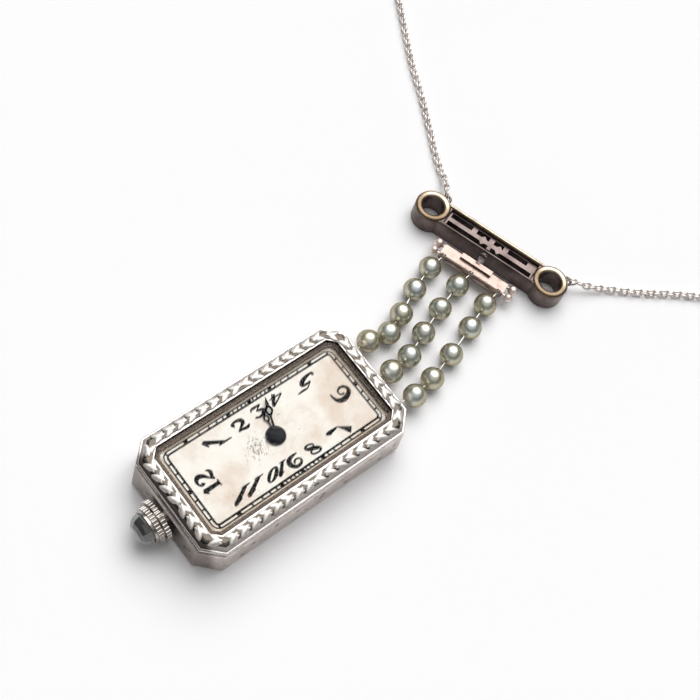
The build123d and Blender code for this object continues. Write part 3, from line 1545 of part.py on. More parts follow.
def chain_coil(route, winding, name):
    """The put-away coil, its solid written out."""
    plane = coil_plane(route, winding)
    with BuildPart() as coil:
        with BuildLine(plane) as coil_path:
            for arc, (shift, radius) in enumerate(coil_arcs()):
                CenterArc((shift, 0), radius, 180 * (arc % 2), winding * 180)
        with BuildSketch(Plane(Vector(*route[-1]), z_dir=coil_path.wire() % 0)):
            Circle(chain_diameter / 2)
        sweep(path=coil_path.line)
    line = coil_path.wire()
    print(name, "length", round(line.length, 2), "least gap", round(least_gap(line), 3))
    coil.part.label = name
    export_step(coil.part, "parts/" + name + ".step")
    return plane


chain_stretch(left_route, "chain_left")
chain_stretch(right_route, "chain_right")
left_winding, right_winding = -1, 1
left_coil_plane = chain_coil(left_route, left_winding, "coil_left")
right_coil_plane = chain_coil(right_route, right_winding, "coil_right")

# Ring clasp at one end of the chain and its tag at the other, in the middles of the coils
clasp_radius = 2.0
clasp_tube_radius = 0.5
clasp_bore_radius = 0.33
clasp_bolt_radius = 0.29
clasp_eye_radius = 0.4
clasp_eye_wire = 0.15
clasp_gate = 40
clasp_travel = 46
bolt_overlap = 6
knob_angle = 35
knob_radius = 0.22
knob_reach = 0.75
knob_slot_half = 8
tag_radius = 0.9
tag_wire = 0.17
end_turn = 20
end_ring_z = end_ring_radius + end_ring_wire - floor_z
chain_end_x = coil_inner_radius - coil_step / 4


def end_point(winding, distance):
    """A point past the chain's end in its coil's plane, the way the last link points."""
    angle = radians(90 + end_turn)
    return (chain_end_x + distance * cos(angle), winding * distance * sin(angle), 0)


def upright_ring(plane, winding, distance, radius, wire_radius, up):
    """A ring on edge, in line with the chain's end."""
    place = end_point(winding, distance)
    centre = plane.from_local_coords((place[0], place[1], up))
    further = end_point(winding, 2 * distance)
    ahead = plane.from_local_coords(further) - plane.from_local_coords(place)
    with Locations(Plane(centre, z_dir=ahead.cross(Vector(0, 0, 1))).location):
        Torus(radius, wire_radius)


def clip_ring(eye, route):
    """A ring on edge through one of the clip's eyes, in line with the chain."""
    eye_point = clip_plane.from_local_coords((eye[0], eye[1], 0))
    start = Vector(route[0][0], route[0][1], eye_point.Z)
    ahead = (start - eye_point).normalized()
    middle = eye_point + ahead * jump_ring_radius
    with Locations(Plane(middle, z_dir=ahead.cross(Vector(0, 0, 1))).location):
        Torus(jump_ring_radius, jump_ring_wire)
    space = (start - eye_point).length - 2 * jump_ring_radius - jump_ring_wire
    print("chain starts", round(space, 3), "past its ring")


end_ring_distance = end_ring_radius + end_ring_wire + end_gap

with BuildPart() as jump_rings:
    clip_ring(left_eye, left_route)
    clip_ring(right_eye, right_route)
    for plane, winding in ((left_coil_plane, left_winding), (right_coil_plane, right_winding)):
        upright_ring(plane, winding, end_ring_distance, end_ring_radius, end_ring_wire, end_ring_z)
jump_rings.part.label = "jump_rings"
export_step(jump_rings.part, "parts/jump_rings.step")

eye_local = end_point(left_winding, end_ring_distance + end_ring_radius - end_gap)
clasp_reach = clasp_radius + clasp_tube_radius + clasp_eye_radius
clasp_lean = 6
gate_lead = 100
clasp_centre = left_coil_plane.from_local_coords((
    eye_local[0] - clasp_reach * cos(radians(clasp_lean)),
    eye_local[1] - left_winding * clasp_reach * sin(radians(clasp_lean)),
    0,
))
clasp_axis = Axis(clasp_centre, (0, 0, 1))
clasp_eye_point = left_coil_plane.from_local_coords(eye_local)
eye_direction = clasp_eye_point - clasp_centre
gate_aim = degrees(atan2(eye_direction.Y, eye_direction.X)) + gate_lead


def clasp_section(turn):
    """The plane across the ring tube at an angle from the middle of the gate."""
    angle = radians(gate_aim + turn)
    return Plane(
        clasp_centre, x_dir=(cos(angle), sin(angle), 0), z_dir=(sin(angle), -cos(angle), 0)
    )


def clasp_arc(first, last, radius, mode=Mode.ADD):
    """A stretch of ring tube between two angles from the middle of the gate."""
    with BuildSketch(clasp_section(first)) as section:
        with Locations((clasp_radius, 0)):
            Circle(radius)
    revolve(section.sketch, axis=clasp_axis, revolution_arc=last - first, mode=mode)


with BuildPart() as clasp_body:
    clasp_arc(clasp_gate / 2, 360 - clasp_gate / 2, clasp_tube_radius)
    with Locations(clasp_eye_point):
        Torus(clasp_eye_radius, clasp_eye_wire)
    clasp_arc(clasp_gate / 2, 360 - clasp_gate / 2, clasp_bore_radius, mode=Mode.SUBTRACT)
    with BuildSketch(clasp_section(knob_angle - knob_slot_half)):
        with Locations((clasp_radius + clasp_tube_radius, 0)):
            Rectangle(2 * clasp_tube_radius, 2 * (knob_radius + running_gap))
    slot_turn = clasp_travel + 2 * knob_slot_half
    revolve(axis=clasp_axis, revolution_arc=slot_turn, mode=Mode.SUBTRACT)
clasp_body.part.label = "clasp_body"
export_step(clasp_body.part, "parts/clasp_body.step")

with BuildPart() as clasp_trigger:
    clasp_arc(-clasp_gate / 2 - bolt_overlap, knob_angle + knob_slot_half, clasp_bolt_radius)
    knob_direction = clasp_section(knob_angle).x_dir
    with BuildSketch(Plane(clasp_centre + knob_direction * clasp_radius, z_dir=knob_direction)):
        Circle(knob_radius)
    extrude(amount=knob_reach)
clasp_trigger.part.label = "clasp_trigger"
export_step(clasp_trigger.part, "parts/clasp_trigger.step")

with BuildPart() as clasp_tag:
    tag_place = end_point(right_winding, end_ring_distance + end_ring_wire + tag_radius)
    with Locations(right_coil_plane.from_local_coords(tag_place)):
        Torus(tag_radius, tag_wire)
clasp_tag.part.label = "clasp_tag"
export_step(clasp_tag.part, "parts/clasp_tag.step")
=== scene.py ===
from functools import partial
from math import cos, pi, radians, sin, tan

import bmesh
import bpy
from mathutils import Matrix, Vector, noise


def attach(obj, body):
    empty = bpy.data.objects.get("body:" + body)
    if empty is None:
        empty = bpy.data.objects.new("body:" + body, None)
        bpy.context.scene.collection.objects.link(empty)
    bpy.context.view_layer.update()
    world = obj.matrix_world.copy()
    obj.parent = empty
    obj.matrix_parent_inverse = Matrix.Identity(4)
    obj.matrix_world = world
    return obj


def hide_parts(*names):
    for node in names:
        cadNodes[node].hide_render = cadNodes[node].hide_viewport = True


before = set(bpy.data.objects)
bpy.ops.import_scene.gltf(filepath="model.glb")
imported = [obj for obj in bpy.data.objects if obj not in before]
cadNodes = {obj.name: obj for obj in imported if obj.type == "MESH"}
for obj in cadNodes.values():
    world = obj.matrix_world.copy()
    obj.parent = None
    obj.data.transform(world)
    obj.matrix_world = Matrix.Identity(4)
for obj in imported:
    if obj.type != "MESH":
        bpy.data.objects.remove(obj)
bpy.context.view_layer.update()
mm = 0.001
weld = 0.001 * mm  # vertices nearer than this become one


# meshes, materials and shader nodes

def asMesh(name, bm):
    mesh = bpy.data.meshes.new(name)
    bm.to_mesh(mesh)
    bm.free()
    return mesh


def takeIn(bm, mesh):
    bm.from_mesh(mesh)
    bpy.data.meshes.remove(mesh)


def addObject(name, data):
    item = bpy.data.objects.new(name, data)
    bpy.context.scene.collection.objects.link(item)
    return item


def placeAt(x, y, z):
    return Matrix.Translation(Vector((x, y, z)) * mm)


def newMaterial(name, values):
    material = bpy.data.materials.new(name)
    material.use_nodes = True
    shader = material.node_tree.nodes["Principled BSDF"].inputs
    for label, value in values.items():
        shader[label].default_value = value
    return material, material.node_tree, shader


def feed(tree, socket, value):
    # the output of another node is linked, and anything else is set
    if isinstance(value, bpy.types.NodeSocket):
        tree.links.new(value, socket)
    else:
        socket.default_value = value


def addNode(tree, kind, values=None, **settings):
    node = tree.nodes.new("ShaderNode" + kind)
    for label, value in settings.items():
        setattr(node, label, value)
    for label, value in (values or {}).items():
        feed(tree, node.inputs[label], value)
    return node


def placeGroup(tree, group, values=None):
    return addNode(tree, "Group", values, node_tree=group).outputs


def objectPlace(tree):
    return addNode(tree, "TexCoord").outputs["Object"]


def objectAxes(tree):
    return addNode(tree, "SeparateXYZ", {0: objectPlace(tree)}).outputs


def joinMath(tree, operation, *values):
    return addNode(tree, "Math", dict(enumerate(values)), operation=operation).outputs[0]


def joinVectors(tree, operation, *values):
    return addNode(tree, "VectorMath", dict(enumerate(values)), operation=operation).outputs


def mixColours(tree, factor, first, second, blend="MIX"):
    values = {"Factor": factor, 6: first, 7: second}
    return addNode(tree, "Mix", values, data_type="RGBA", blend_type=blend).outputs[2]


def fadeBetween(tree, value, low, high, before=0, after=1):
    # goes smoothly from one level to another while the value goes from low to high
    values = {"Value": value, "From Min": low, "From Max": high, "To Min": before, "To Max": after}
    return addNode(tree, "MapRange", values, interpolation_type="SMOOTHSTEP").outputs["Result"]


def buildView():
    settings = {
        "place": (28.542, -40.526, 119.322),
        "across": (0.61168, 0.768695, 0.186964),
        "up": (-0.751893, 0.49141, 0.439516),
        "back": (0.245978, -0.40942, 0.878562),
        "lens": 61.714,
        "sensor": 36,
        "near": 0.002,
        "far": 20,
    }
    camera = bpy.data.cameras.new("camera")
    camera.lens = settings["lens"]
    camera.sensor_width = settings["sensor"]
    camera.sensor_fit = "HORIZONTAL"
    camera.clip_start = settings["near"]
    camera.clip_end = settings["far"]
    holder = addObject("camera", camera)
    turn = Matrix([settings["across"], settings["up"], settings["back"]]).transposed()
    holder.matrix_world = placeAt(*settings["place"]) @ turn.to_4x4()
    bpy.context.scene.camera = holder
    bpy.context.scene.view_settings.view_transform = "Standard"


def buildStudio():
    settings = {
        "boxWay": (-0.30, 0.44, 0.88),  # where the soft box hangs
        "boxEdge": (0.80, 0.93),  # cosines over which it fades in
        "boxLevel": 3.3,
        "surroundings": (  # height and level
            (0.0, 0.80), (0.10, 0.80),  # the pale wall behind the floor
            (0.24, 0.10), (0.60, 0.10),  # the darker band that steep facets mirror
            (0.80, 0.50),  # round the soft box
        ),
        "floorHalf": 3,  # m
        "paper": {"Base Color": (0.955, 0.95, 0.955, 1), "Roughness": 0.85, "Specular IOR Level": 0.1},
    }
    world = bpy.data.worlds.new("studio")
    bpy.context.scene.world = world
    world.use_nodes = True
    tree = world.node_tree
    way = addNode(tree, "TexCoord").outputs["Generated"]
    ramp = addNode(tree, "ValToRGB", {0: addNode(tree, "SeparateXYZ", {0: way}).outputs["Z"]})
    ramp.color_ramp.interpolation = "EASE"
    elements = ramp.color_ramp.elements
    while len(elements) < len(settings["surroundings"]):
        elements.new(0.5)
    for element, (height, level) in zip(elements, settings["surroundings"]):
        element.position = height
        element.color = (level, level, level, 1)
    toBox = joinVectors(tree, "DOT_PRODUCT", way, Vector(settings["boxWay"]).normalized())["Value"]
    box = fadeBetween(tree, toBox, *settings["boxEdge"], 0, settings["boxLevel"])
    light = mixColours(tree, 1, ramp.outputs["Color"], box, "ADD")
    feed(tree, tree.nodes["Background"].inputs["Color"], light)

    bm = bmesh.new()
    bmesh.ops.create_grid(bm, x_segments=1, y_segments=1, size=settings["floorHalf"])
    floor = addObject("floor", asMesh("floor", bm))
    floor.data.materials.append(newMaterial("paleFloor", settings["paper"])[0])


buildView()
buildStudio()
print("view and studio are up")


# node groups that several finishes share

def newGroup(name, inputs, outputs):
    # an input is a number, a vector or a colour, as its first value is
    kinds = {3: "Vector", 4: "Color"}
    group = bpy.data.node_groups.new(name, "ShaderNodeTree")
    for label, value in inputs.items():
        kind = "NodeSocket" + (kinds[len(value)] if isinstance(value, tuple) else "Float")
        socket = group.interface.new_socket(name=label, in_out="INPUT", socket_type=kind)
        socket.default_value = value
    for label, kind in outputs.items():
        group.interface.new_socket(name=label, in_out="OUTPUT", socket_type="NodeSocket" + kind)
    given = group.nodes.new("NodeGroupInput").outputs
    result = group.nodes.new("NodeGroupOutput").inputs
    return group, given, result


def makeGrainGroup():
    # fine noise over the piece's own space, stretched where a finish is brushed
    settings = {"detail": 4, "darkest": 0.3, "lightest": 0.7}
    group, given, result = newGroup(
        "fineGrain",
        {"Scale": 4000.0, "Stretch": (1, 1, 1), "Low": 0.2, "High": 0.3},
        {"Level": "Float", "Height": "Float"},
    )
    speckle = addNode(group, "TexNoise", {
        "Vector": joinVectors(group, "MULTIPLY", objectPlace(group), given["Stretch"])["Vector"],
        "Scale": given["Scale"], "Detail": settings["detail"],
    }).outputs["Fac"]
    level = addNode(group, "MapRange", {
        "Value": speckle, "From Min": settings["darkest"], "From Max": settings["lightest"],
        "To Min": given["Low"], "To Max": given["High"],
    }).outputs["Result"]
    feed(group, result["Level"], level)
    feed(group, result["Height"], speckle)
    return group


def makeTarnishGroup():
    # clouds of a second tone, for age on metal, pearl or dial
    settings = {"detail": 6, "roughness": 0.62}
    group, given, result = newGroup(
        "tarnish",
        {"Clean": (0.8, 0.8, 0.8, 1), "Aged": (0.4, 0.35, 0.3, 1), "Scale": 400.0, "From": 0.45, "To": 0.75},
        {"Color": "Color"},
    )
    cloud = addNode(group, "TexNoise", {
        "Vector": objectPlace(group), "Scale": given["Scale"],
        "Detail": settings["detail"], "Roughness": settings["roughness"],
    }).outputs["Fac"]
    mask = fadeBetween(group, cloud, given["From"], given["To"])
    feed(group, result["Color"], mixColours(group, mask, given["Clean"], given["Aged"]))
    return group


def makeHeightGroup():
    # 1 between two heights of the piece, 0 outside them
    group, given, result = newGroup("heightBand", {"Low": 0.0, "High": 0.001, "Edge": 0.00002}, {"Mask": "Float"})
    height = objectAxes(group)["Z"]
    masks = []
    for label, before, after in (("Low", 0, 1), ("High", 1, 0)):
        start = joinMath(group, "SUBTRACT", given[label], given["Edge"])
        end = joinMath(group, "ADD", given[label], given["Edge"])
        masks.append(fadeBetween(group, height, start, end, before, after))
    feed(group, result["Mask"], joinMath(group, "MULTIPLY", *masks))
    return group


def makeOpeningGroup():
    # 1 inside an upright rectangle round the origin
    group, given, result = newGroup("insideOpening", {"Half X": 0.005, "Half Y": 0.01}, {"Mask": "Float"})
    axes = objectAxes(group)
    masks = []
    for axis in ("X", "Y"):
        distance = joinMath(group, "ABSOLUTE", axes[axis])
        masks.append(joinMath(group, "LESS_THAN", distance, given["Half " + axis]))
    feed(group, result["Mask"], joinMath(group, "MULTIPLY", *masks))
    return group


def makeEngravingGroup():
    # slanted fine cuts crossed by a few stamped marks, for the case's side band
    settings = {
        "slantX": 0.62, "slantZ": 0.9,  # how far the cuts lean
        "cutDepth": 0.35, "darkFrom": 0.25,
        "markCore": 0.12, "markEdge": 0.30,
        "bandLow": 1.0, "bandHigh": 3.8,  # mm
    }
    group, given, result = newGroup(
        "sideEngraving", {"Pitch": 3300.0, "Marks": 760.0}, {"Height": "Float", "Mask": "Float", "Lines": "Float"})
    combine = partial(joinMath, group)
    axes = objectAxes(group)
    along = combine("SUBTRACT", axes["Y"], combine("MULTIPLY", axes["X"], settings["slantX"]))
    slant = combine("ADD", along, combine("MULTIPLY", axes["Z"], settings["slantZ"]))
    cuts = combine("SINE", combine("MULTIPLY", slant, combine("MULTIPLY", given["Pitch"], 2 * pi)))
    spots = addNode(group, "TexVoronoi", {"Vector": objectPlace(group), "Scale": given["Marks"]})
    mark = fadeBetween(group, spots.outputs["Distance"], settings["markCore"], settings["markEdge"], 1, 0)
    inBand = combine("MULTIPLY", combine("GREATER_THAN", axes["Z"], settings["bandLow"] * mm),
                     combine("LESS_THAN", axes["Z"], settings["bandHigh"] * mm))
    level = combine("MULTIPLY", combine("MULTIPLY", cuts, settings["cutDepth"]), inBand)
    markHere = combine("MULTIPLY", mark, inBand)
    dark = combine("GREATER_THAN", cuts, settings["darkFrom"])
    feed(group, result["Height"], combine("SUBTRACT", level, markHere))
    feed(group, result["Mask"], markHere)
    feed(group, result["Lines"], combine("MULTIPLY", dark, inBand))
    return group


grainGroup = makeGrainGroup()
tarnishGroup = makeTarnishGroup()
heightGroup = makeHeightGroup()
openingGroup = makeOpeningGroup()
engravingGroup = makeEngravingGroup()


# finishes, which pieces take by name

finishes = {}


def addBump(tree, shader, height, distance):
    # over the bump that is there already
    values = {"Height": height, "Distance": distance}
    for link in shader["Normal"].links:
        values["Normal"] = link.from_socket
    feed(tree, shader["Normal"], addNode(tree, "Bump", values).outputs["Normal"])


def makeFinish(name, settings):
    # clouds of an aged tone over a clean one, with a fine grain in roughness and relief
    usual = {
        "shader": {"Metallic": 1}, "bump": 2e-6, "stretch": (1, 1, 1), "grainScale": 6000,
        "cloudScale": 500, "cloudFrom": 0.45, "cloudTo": 0.8, "smoothest": 0.75, "roughest": 1.35,
    }
    settings = {**usual, **settings}
    finishes[name], tree, shader = newMaterial(name, settings["shader"])
    colour = placeGroup(tree, tarnishGroup, {
        "Clean": settings["clean"], "Aged": settings["aged"], "Scale": settings["cloudScale"],
        "From": settings["cloudFrom"], "To": settings["cloudTo"],
    })["Color"]
    grain = placeGroup(tree, grainGroup, {
        "Scale": settings["grainScale"], "Stretch": settings["stretch"],
        "Low": settings["roughness"] * settings["smoothest"], "High": settings["roughness"] * settings["roughest"],
    })
    feed(tree, shader["Base Color"], colour)
    feed(tree, shader["Roughness"], grain["Level"])
    addBump(tree, shader, grain["Height"], settings["bump"])
    return tree, shader, colour


def insideOpening(tree, halfX, halfY):
    return placeGroup(tree, openingGroup, {"Half X": halfX * mm, "Half Y": halfY * mm})["Mask"]


def toneBetween(tree, colour, low, high, tone, edge=0.02, share=1):
    # another tone between two heights in mm
    mask = placeGroup(tree, heightGroup, {"Low": low * mm, "High": high * mm, "Edge": edge * mm})["Mask"]
    return mixColours(tree, joinMath(tree, "MULTIPLY", mask, share), colour, tone)


def crownEndDarkReflection(tree, strength):
    # where the case slopes down to the crown: a painted dark reflection, darker towards the crown end
    settings = {"full": -12.9, "none": -12.2}
    return fadeBetween(tree, objectAxes(tree)["Y"], settings["full"] * mm, settings["none"] * mm, strength, 0)


def makeEvenFinishes():
    plain = {
        "caseGold": {
            "clean": (0.80, 0.765, 0.735, 1), "aged": (0.50, 0.45, 0.42, 1), "roughness": 0.2, "bump": 5e-6},
        "clipGold": {
            "clean": (0.19, 0.148, 0.14, 1), "aged": (0.075, 0.055, 0.05, 1), "roughness": 0.34, "bump": 8e-6,
            "cloudScale": 420, "cloudFrom": 0.35},
        "barGold": {
            "clean": (0.36, 0.28, 0.245, 1), "aged": (0.17, 0.125, 0.105, 1), "roughness": 0.33, "bump": 6e-6,
            "cloudScale": 700},
        "pinGold": {
            "clean": (0.84, 0.72, 0.66, 1), "aged": (0.66, 0.54, 0.48, 1), "roughness": 0.5, "bump": 4e-6},
        "crownGold": {
            "clean": (0.50, 0.46, 0.43, 1), "aged": (0.20, 0.17, 0.15, 1), "roughness": 0.27, "bump": 5e-6,
            "cloudScale": 800, "cloudFrom": 0.4},
        "chainGold": {"clean": (0.74, 0.68, 0.64, 1), "aged": (0.50, 0.44, 0.41, 1), "roughness": 0.24},
        "wireSteel": {"clean": (0.66, 0.62, 0.56, 1), "aged": (0.42, 0.38, 0.32, 1), "roughness": 0.3},
        "brightSteel": {
            "clean": (0.62, 0.62, 0.63, 1), "aged": (0.46, 0.45, 0.44, 1), "roughness": 0.2, "bump": 3e-6},
        "giltBrass": {
            "clean": (0.78, 0.62, 0.33, 1), "aged": (0.55, 0.40, 0.20, 1), "roughness": 0.28, "bump": 5e-6},
        "plateNickel": {
            "clean": (0.70, 0.69, 0.66, 1), "aged": (0.55, 0.53, 0.50, 1), "roughness": 0.3, "bump": 8e-6,
            "stretch": (1, 0.08, 1)},
        "ink": {
            "clean": (0.006, 0.005, 0.005, 1), "aged": (0.022, 0.016, 0.012, 1), "roughness": 0.6,
            "shader": {"Specular IOR Level": 0.08}},
        "ruby": {
            "clean": (0.5, 0.03, 0.1, 1), "aged": (0.3, 0.01, 0.05, 1), "roughness": 0.12,
            "shader": {"Coat Weight": 0.5}},
        "onyx": {
            "clean": (0.035, 0.038, 0.036, 1), "aged": (0.10, 0.105, 0.09, 1), "roughness": 0.1,
            "cloudScale": 900, "shader": {"Coat Weight": 1, "Coat Roughness": 0.03, "Specular IOR Level": 0.8}},
    }
    for name, settings in plain.items():
        makeFinish(name, settings)


def makeBandGold():
    settings = {
        "clean": (0.70, 0.63, 0.59, 1), "aged": (0.44, 0.375, 0.34, 1), "roughness": 0.34, "bump": 8e-6,
        "cloudScale": 700, "cloudFrom": 0.35, "engraving": 6e-5,
        "lines": (0.22, 0.185, 0.17, 1), "lineShare": 0.6,
        "marks": (0.06, 0.045, 0.04, 1), "markShare": 0.95,
        # crown tone: painted dark reflection where the band slopes down to the crown
        "crownDarkReflection": (0.10, 0.08, 0.075, 1), "crownReflectionShare": 0.62,
    }
    tree, shader, colour = makeFinish("bandGold", settings)
    cuts = placeGroup(tree, engravingGroup)
    addBump(tree, shader, cuts["Height"], settings["engraving"])
    for mask, tone in (
        (joinMath(tree, "MULTIPLY", cuts["Lines"], settings["lineShare"]), settings["lines"]),
        (joinMath(tree, "MULTIPLY", cuts["Mask"], settings["markShare"]), settings["marks"]),
        (crownEndDarkReflection(tree, settings["crownReflectionShare"]), settings["crownDarkReflection"]),
    ):
        colour = mixColours(tree, mask, colour, tone)
    feed(tree, shader["Base Color"], colour)


def makeBezelGold():
    settings = {
        "clean": (0.62, 0.585, 0.56, 1), "aged": (0.50, 0.45, 0.42, 1), "roughness": 0.27, "bump": 4e-6,
        # facet tone: painted dark reflection on the steep outer facet
        "facet": (5.13, 5.60), "facetDarkReflection": (0.36, 0.32, 0.30, 1),
        # ground tone: painted shade between the leaves
        "ground": (5.66, 5.80), "groundShade": (0.20, 0.175, 0.15, 1),  # between the leaves
        # crest tone: painted shade under the leaves, where they sit on the crest
        "crest": (5.82, 5.90), "crestShade": (0.10, 0.085, 0.07, 1),
        # slope tone: painted dark reflection on the slope down to the crown
        "slope": (5.08, 5.74), "slopeDarkReflection": (0.03, 0.023, 0.02, 1), "slopeReflectionShare": 0.92,
        # wall tone: painted shade on the inner wall round the crystal
        "wall": (3, 5.70), "wallShade": (0.075, 0.06, 0.05, 1),  # round the crystal
        "lip": (5.95, 12.06), "opening": (5.66, 11.85), "softEdge": 0.04,
    }
    tree, shader, colour = makeFinish("bezelGold", settings)
    outsideLip = joinMath(tree, "SUBTRACT", 1, insideOpening(tree, *settings["lip"]))
    inOpening = insideOpening(tree, *settings["opening"])
    darkReflectionAtCrown = crownEndDarkReflection(tree, settings["slopeReflectionShare"])
    soft = settings["softEdge"]
    colour = toneBetween(tree, colour, *settings["facet"], settings["facetDarkReflection"])
    colour = toneBetween(tree, colour, *settings["ground"], settings["groundShade"], share=outsideLip)
    colour = toneBetween(tree, colour, *settings["crest"], settings["crestShade"])
    colour = toneBetween(tree, colour, *settings["slope"], settings["slopeDarkReflection"], soft, darkReflectionAtCrown)
    colour = toneBetween(tree, colour, *settings["wall"], settings["wallShade"], soft, inOpening)
    feed(tree, shader["Base Color"], colour)


def makeLeafGold():
    settings = {
        "clean": (0.72, 0.68, 0.64, 1), "aged": (0.46, 0.40, 0.35, 1), "roughness": 0.46, "bump": 6e-6,
        # foot tone: painted shade on the leaves' lowest parts, between and under them
        "cloudFrom": 0.48, "foot": (4, 5.72), "footShade": (0.17, 0.14, 0.115, 1), "footEdge": 0.03,
    }
    tree, shader, colour = makeFinish("leafGold", settings)
    colour = toneBetween(tree, colour, *settings["foot"], settings["footShade"], settings["footEdge"])
    feed(tree, shader["Base Color"], colour)


def makeLitRidgeGold():
    # a lighter copy of the clip gold: a painted highlight for the clip's far ridge and loop rims
    settings = {
        "clean": (0.62, 0.53, 0.40, 1), "aged": (0.26, 0.20, 0.14, 1), "roughness": 0.26, "bump": 6e-6,
        "cloudFrom": 0.4, "across": (-0.32227, 0.94665, 0),  # across the clip
        # near tone: painted shade, darker towards the clip's near side
        "near": (36.9, 38.8), "nearSideShade": (0.13, 0.085, 0.05, 1), "nearShare": 0.88,
    }
    tree, shader, colour = makeFinish("litRidgeGold", settings)
    across = joinVectors(tree, "DOT_PRODUCT", objectPlace(tree), settings["across"])["Value"]
    start, end = settings["near"]
    # painted shade over the near side
    near = fadeBetween(tree, across, start * mm, end * mm, settings["nearShare"], 0)
    feed(tree, shader["Base Color"], mixColours(tree, near, colour, settings["nearSideShade"]))


def makeBluedSteel():
    # with fine rings turned in the hub, painted lighter as highlights
    settings = {
        "clean": (0.002, 0.0025, 0.004, 1), "aged": (0.001, 0.001, 0.0015, 1), "roughness": 0.2,
        "ringPitch": 0.42, "ringFrom": 0.94, "ringReach": 1.06, "ringHighlight": (0.05, 0.048, 0.048, 1),
    }
    tree, shader, colour = makeFinish("bluedSteel", settings)
    flat = joinVectors(tree, "MULTIPLY", objectPlace(tree), (1, 1, 0))["Vector"]
    reach = joinVectors(tree, "LENGTH", flat)["Value"]
    wave = joinMath(tree, "SINE", joinMath(tree, "MULTIPLY", reach, 2 * pi / (settings["ringPitch"] * mm)))
    ring = joinMath(tree, "MULTIPLY", joinMath(tree, "GREATER_THAN", wave, settings["ringFrom"]),
                    joinMath(tree, "LESS_THAN", reach, settings["ringReach"] * mm))
    feed(tree, shader["Base Color"], mixColours(tree, ring, colour, settings["ringHighlight"]))


def makePearlNacre():
    settings = {
        "clean": (0.80, 0.86, 0.84, 1), "aged": (0.74, 0.68, 0.50, 1), "roughness": 0.33, "bump": 3e-6,
        "cloudScale": 380, "cloudFrom": 0.3, "cloudTo": 0.7,
        "shader": {
            "Metallic": 0.9, "Specular Tint": (0.72, 0.56, 0.20, 1), "Coat Weight": 0.8,
            "Coat Roughness": 0.26, "Coat IOR": 2.1, "Coat Tint": (0.92, 0.98, 1.0, 1),
        },
        # rim tone, mixed in by facing: painted dark reflection towards the pearls' edges
        "rim": (0.19, 0.125, 0.018, 1), "rimBlend": 0.72,
        # under tone: painted shade, darker on the pearls' lower halves
        "under": (-1, 1.1), "underShade": (0.07, 0.06, 0.03, 1), "underEdge": 0.6, "underShadeShare": 0.75,
    }
    tree, shader, colour = makeFinish("pearlNacre", settings)
    facing = addNode(tree, "LayerWeight", {"Blend": settings["rimBlend"]}).outputs["Facing"]
    colour = mixColours(tree, facing, colour, settings["rim"])
    colour = toneBetween(tree, colour, *settings["under"], settings["underShade"], settings["underEdge"],
                         settings["underShadeShare"])
    feed(tree, shader["Base Color"], colour)


def makeDialSilver():
    settings = {
        "clean": (0.93, 0.885, 0.81, 1), "aged": (0.74, 0.60, 0.48, 1), "roughness": 0.42, "bump": 4e-6,
        "cloudScale": 170, "cloudFrom": 0.42, "cloudTo": 0.72, "shader": {"Metallic": 0.0},
        # margin round the field, darker brown: partly patina, partly painted shade from the bezel wall
        "field": (4.9, 11.0), "edgePatinaAndShade": (0.50, 0.39, 0.27, 1), "edgePatinaAndShadeShare": 0.75,
        "spot": (0.16, 0.10, 0.06, 1), "spotScale": 7000, "spotDetail": 2, "spotFrom": 0.69, "spotFull": 0.73,
        "spotPlace": (-0.1, -2.35, 4.95), "spotReach": 2.3, "spotLift": 0.19,  # mm, where the specks crowd
    }
    tree, shader, colour = makeFinish("dialSilver", settings)
    place = objectPlace(tree)
    away = joinVectors(tree, "DISTANCE", place, Vector(settings["spotPlace"]) * mm)["Value"]
    crowd = fadeBetween(tree, away, 0, settings["spotReach"] * mm, settings["spotLift"], 0)
    specks = addNode(tree, "TexNoise", {
        "Vector": place, "Scale": settings["spotScale"], "Detail": settings["spotDetail"],
    }).outputs["Fac"]
    spots = addNode(tree, "MapRange", {
        "Value": joinMath(tree, "ADD", specks, crowd),
        "From Min": settings["spotFrom"], "From Max": settings["spotFull"],
    }).outputs["Result"]
    outside = joinMath(tree, "SUBTRACT", 1, insideOpening(tree, *settings["field"]))
    edgePatinaAndShade = joinMath(tree, "MULTIPLY", outside, settings["edgePatinaAndShadeShare"])
    colour = mixColours(tree, edgePatinaAndShade, colour, settings["edgePatinaAndShade"])
    feed(tree, shader["Base Color"], mixColours(tree, spots, colour, settings["spot"]))


def makeCrystalGlass():
    settings = {
        "shader": {"Base Color": (0.99, 0.99, 0.98, 1), "Transmission Weight": 1, "IOR": 1.3, "Alpha": 0.15},
        "grain": {"Scale": 300, "Low": 0.0, "High": 0.004},
    }
    finishes["crystalGlass"], tree, shader = newMaterial("crystalGlass", settings["shader"])
    feed(tree, shader["Roughness"], placeGroup(tree, grainGroup, settings["grain"])["Level"])


makeEvenFinishes()
makeBandGold()
makeBezelGold()
makeLeafGold()
makeLitRidgeGold()
makeBluedSteel()
makePearlNacre()
makeDialSilver()
makeCrystalGlass()
print("finishes are mixed")


# making and placing pieces

def finishPiece(name, bm, material, body, smoothAngle=35):
    mesh = asMesh(name, bm)
    mesh.materials.append(finishes[material])
    mesh.polygons.foreach_set("use_smooth", [True] * len(mesh.polygons))
    mesh.set_sharp_from_angle(angle=radians(smoothAngle))
    piece = addObject(name, mesh)
    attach(piece, body)
    return piece


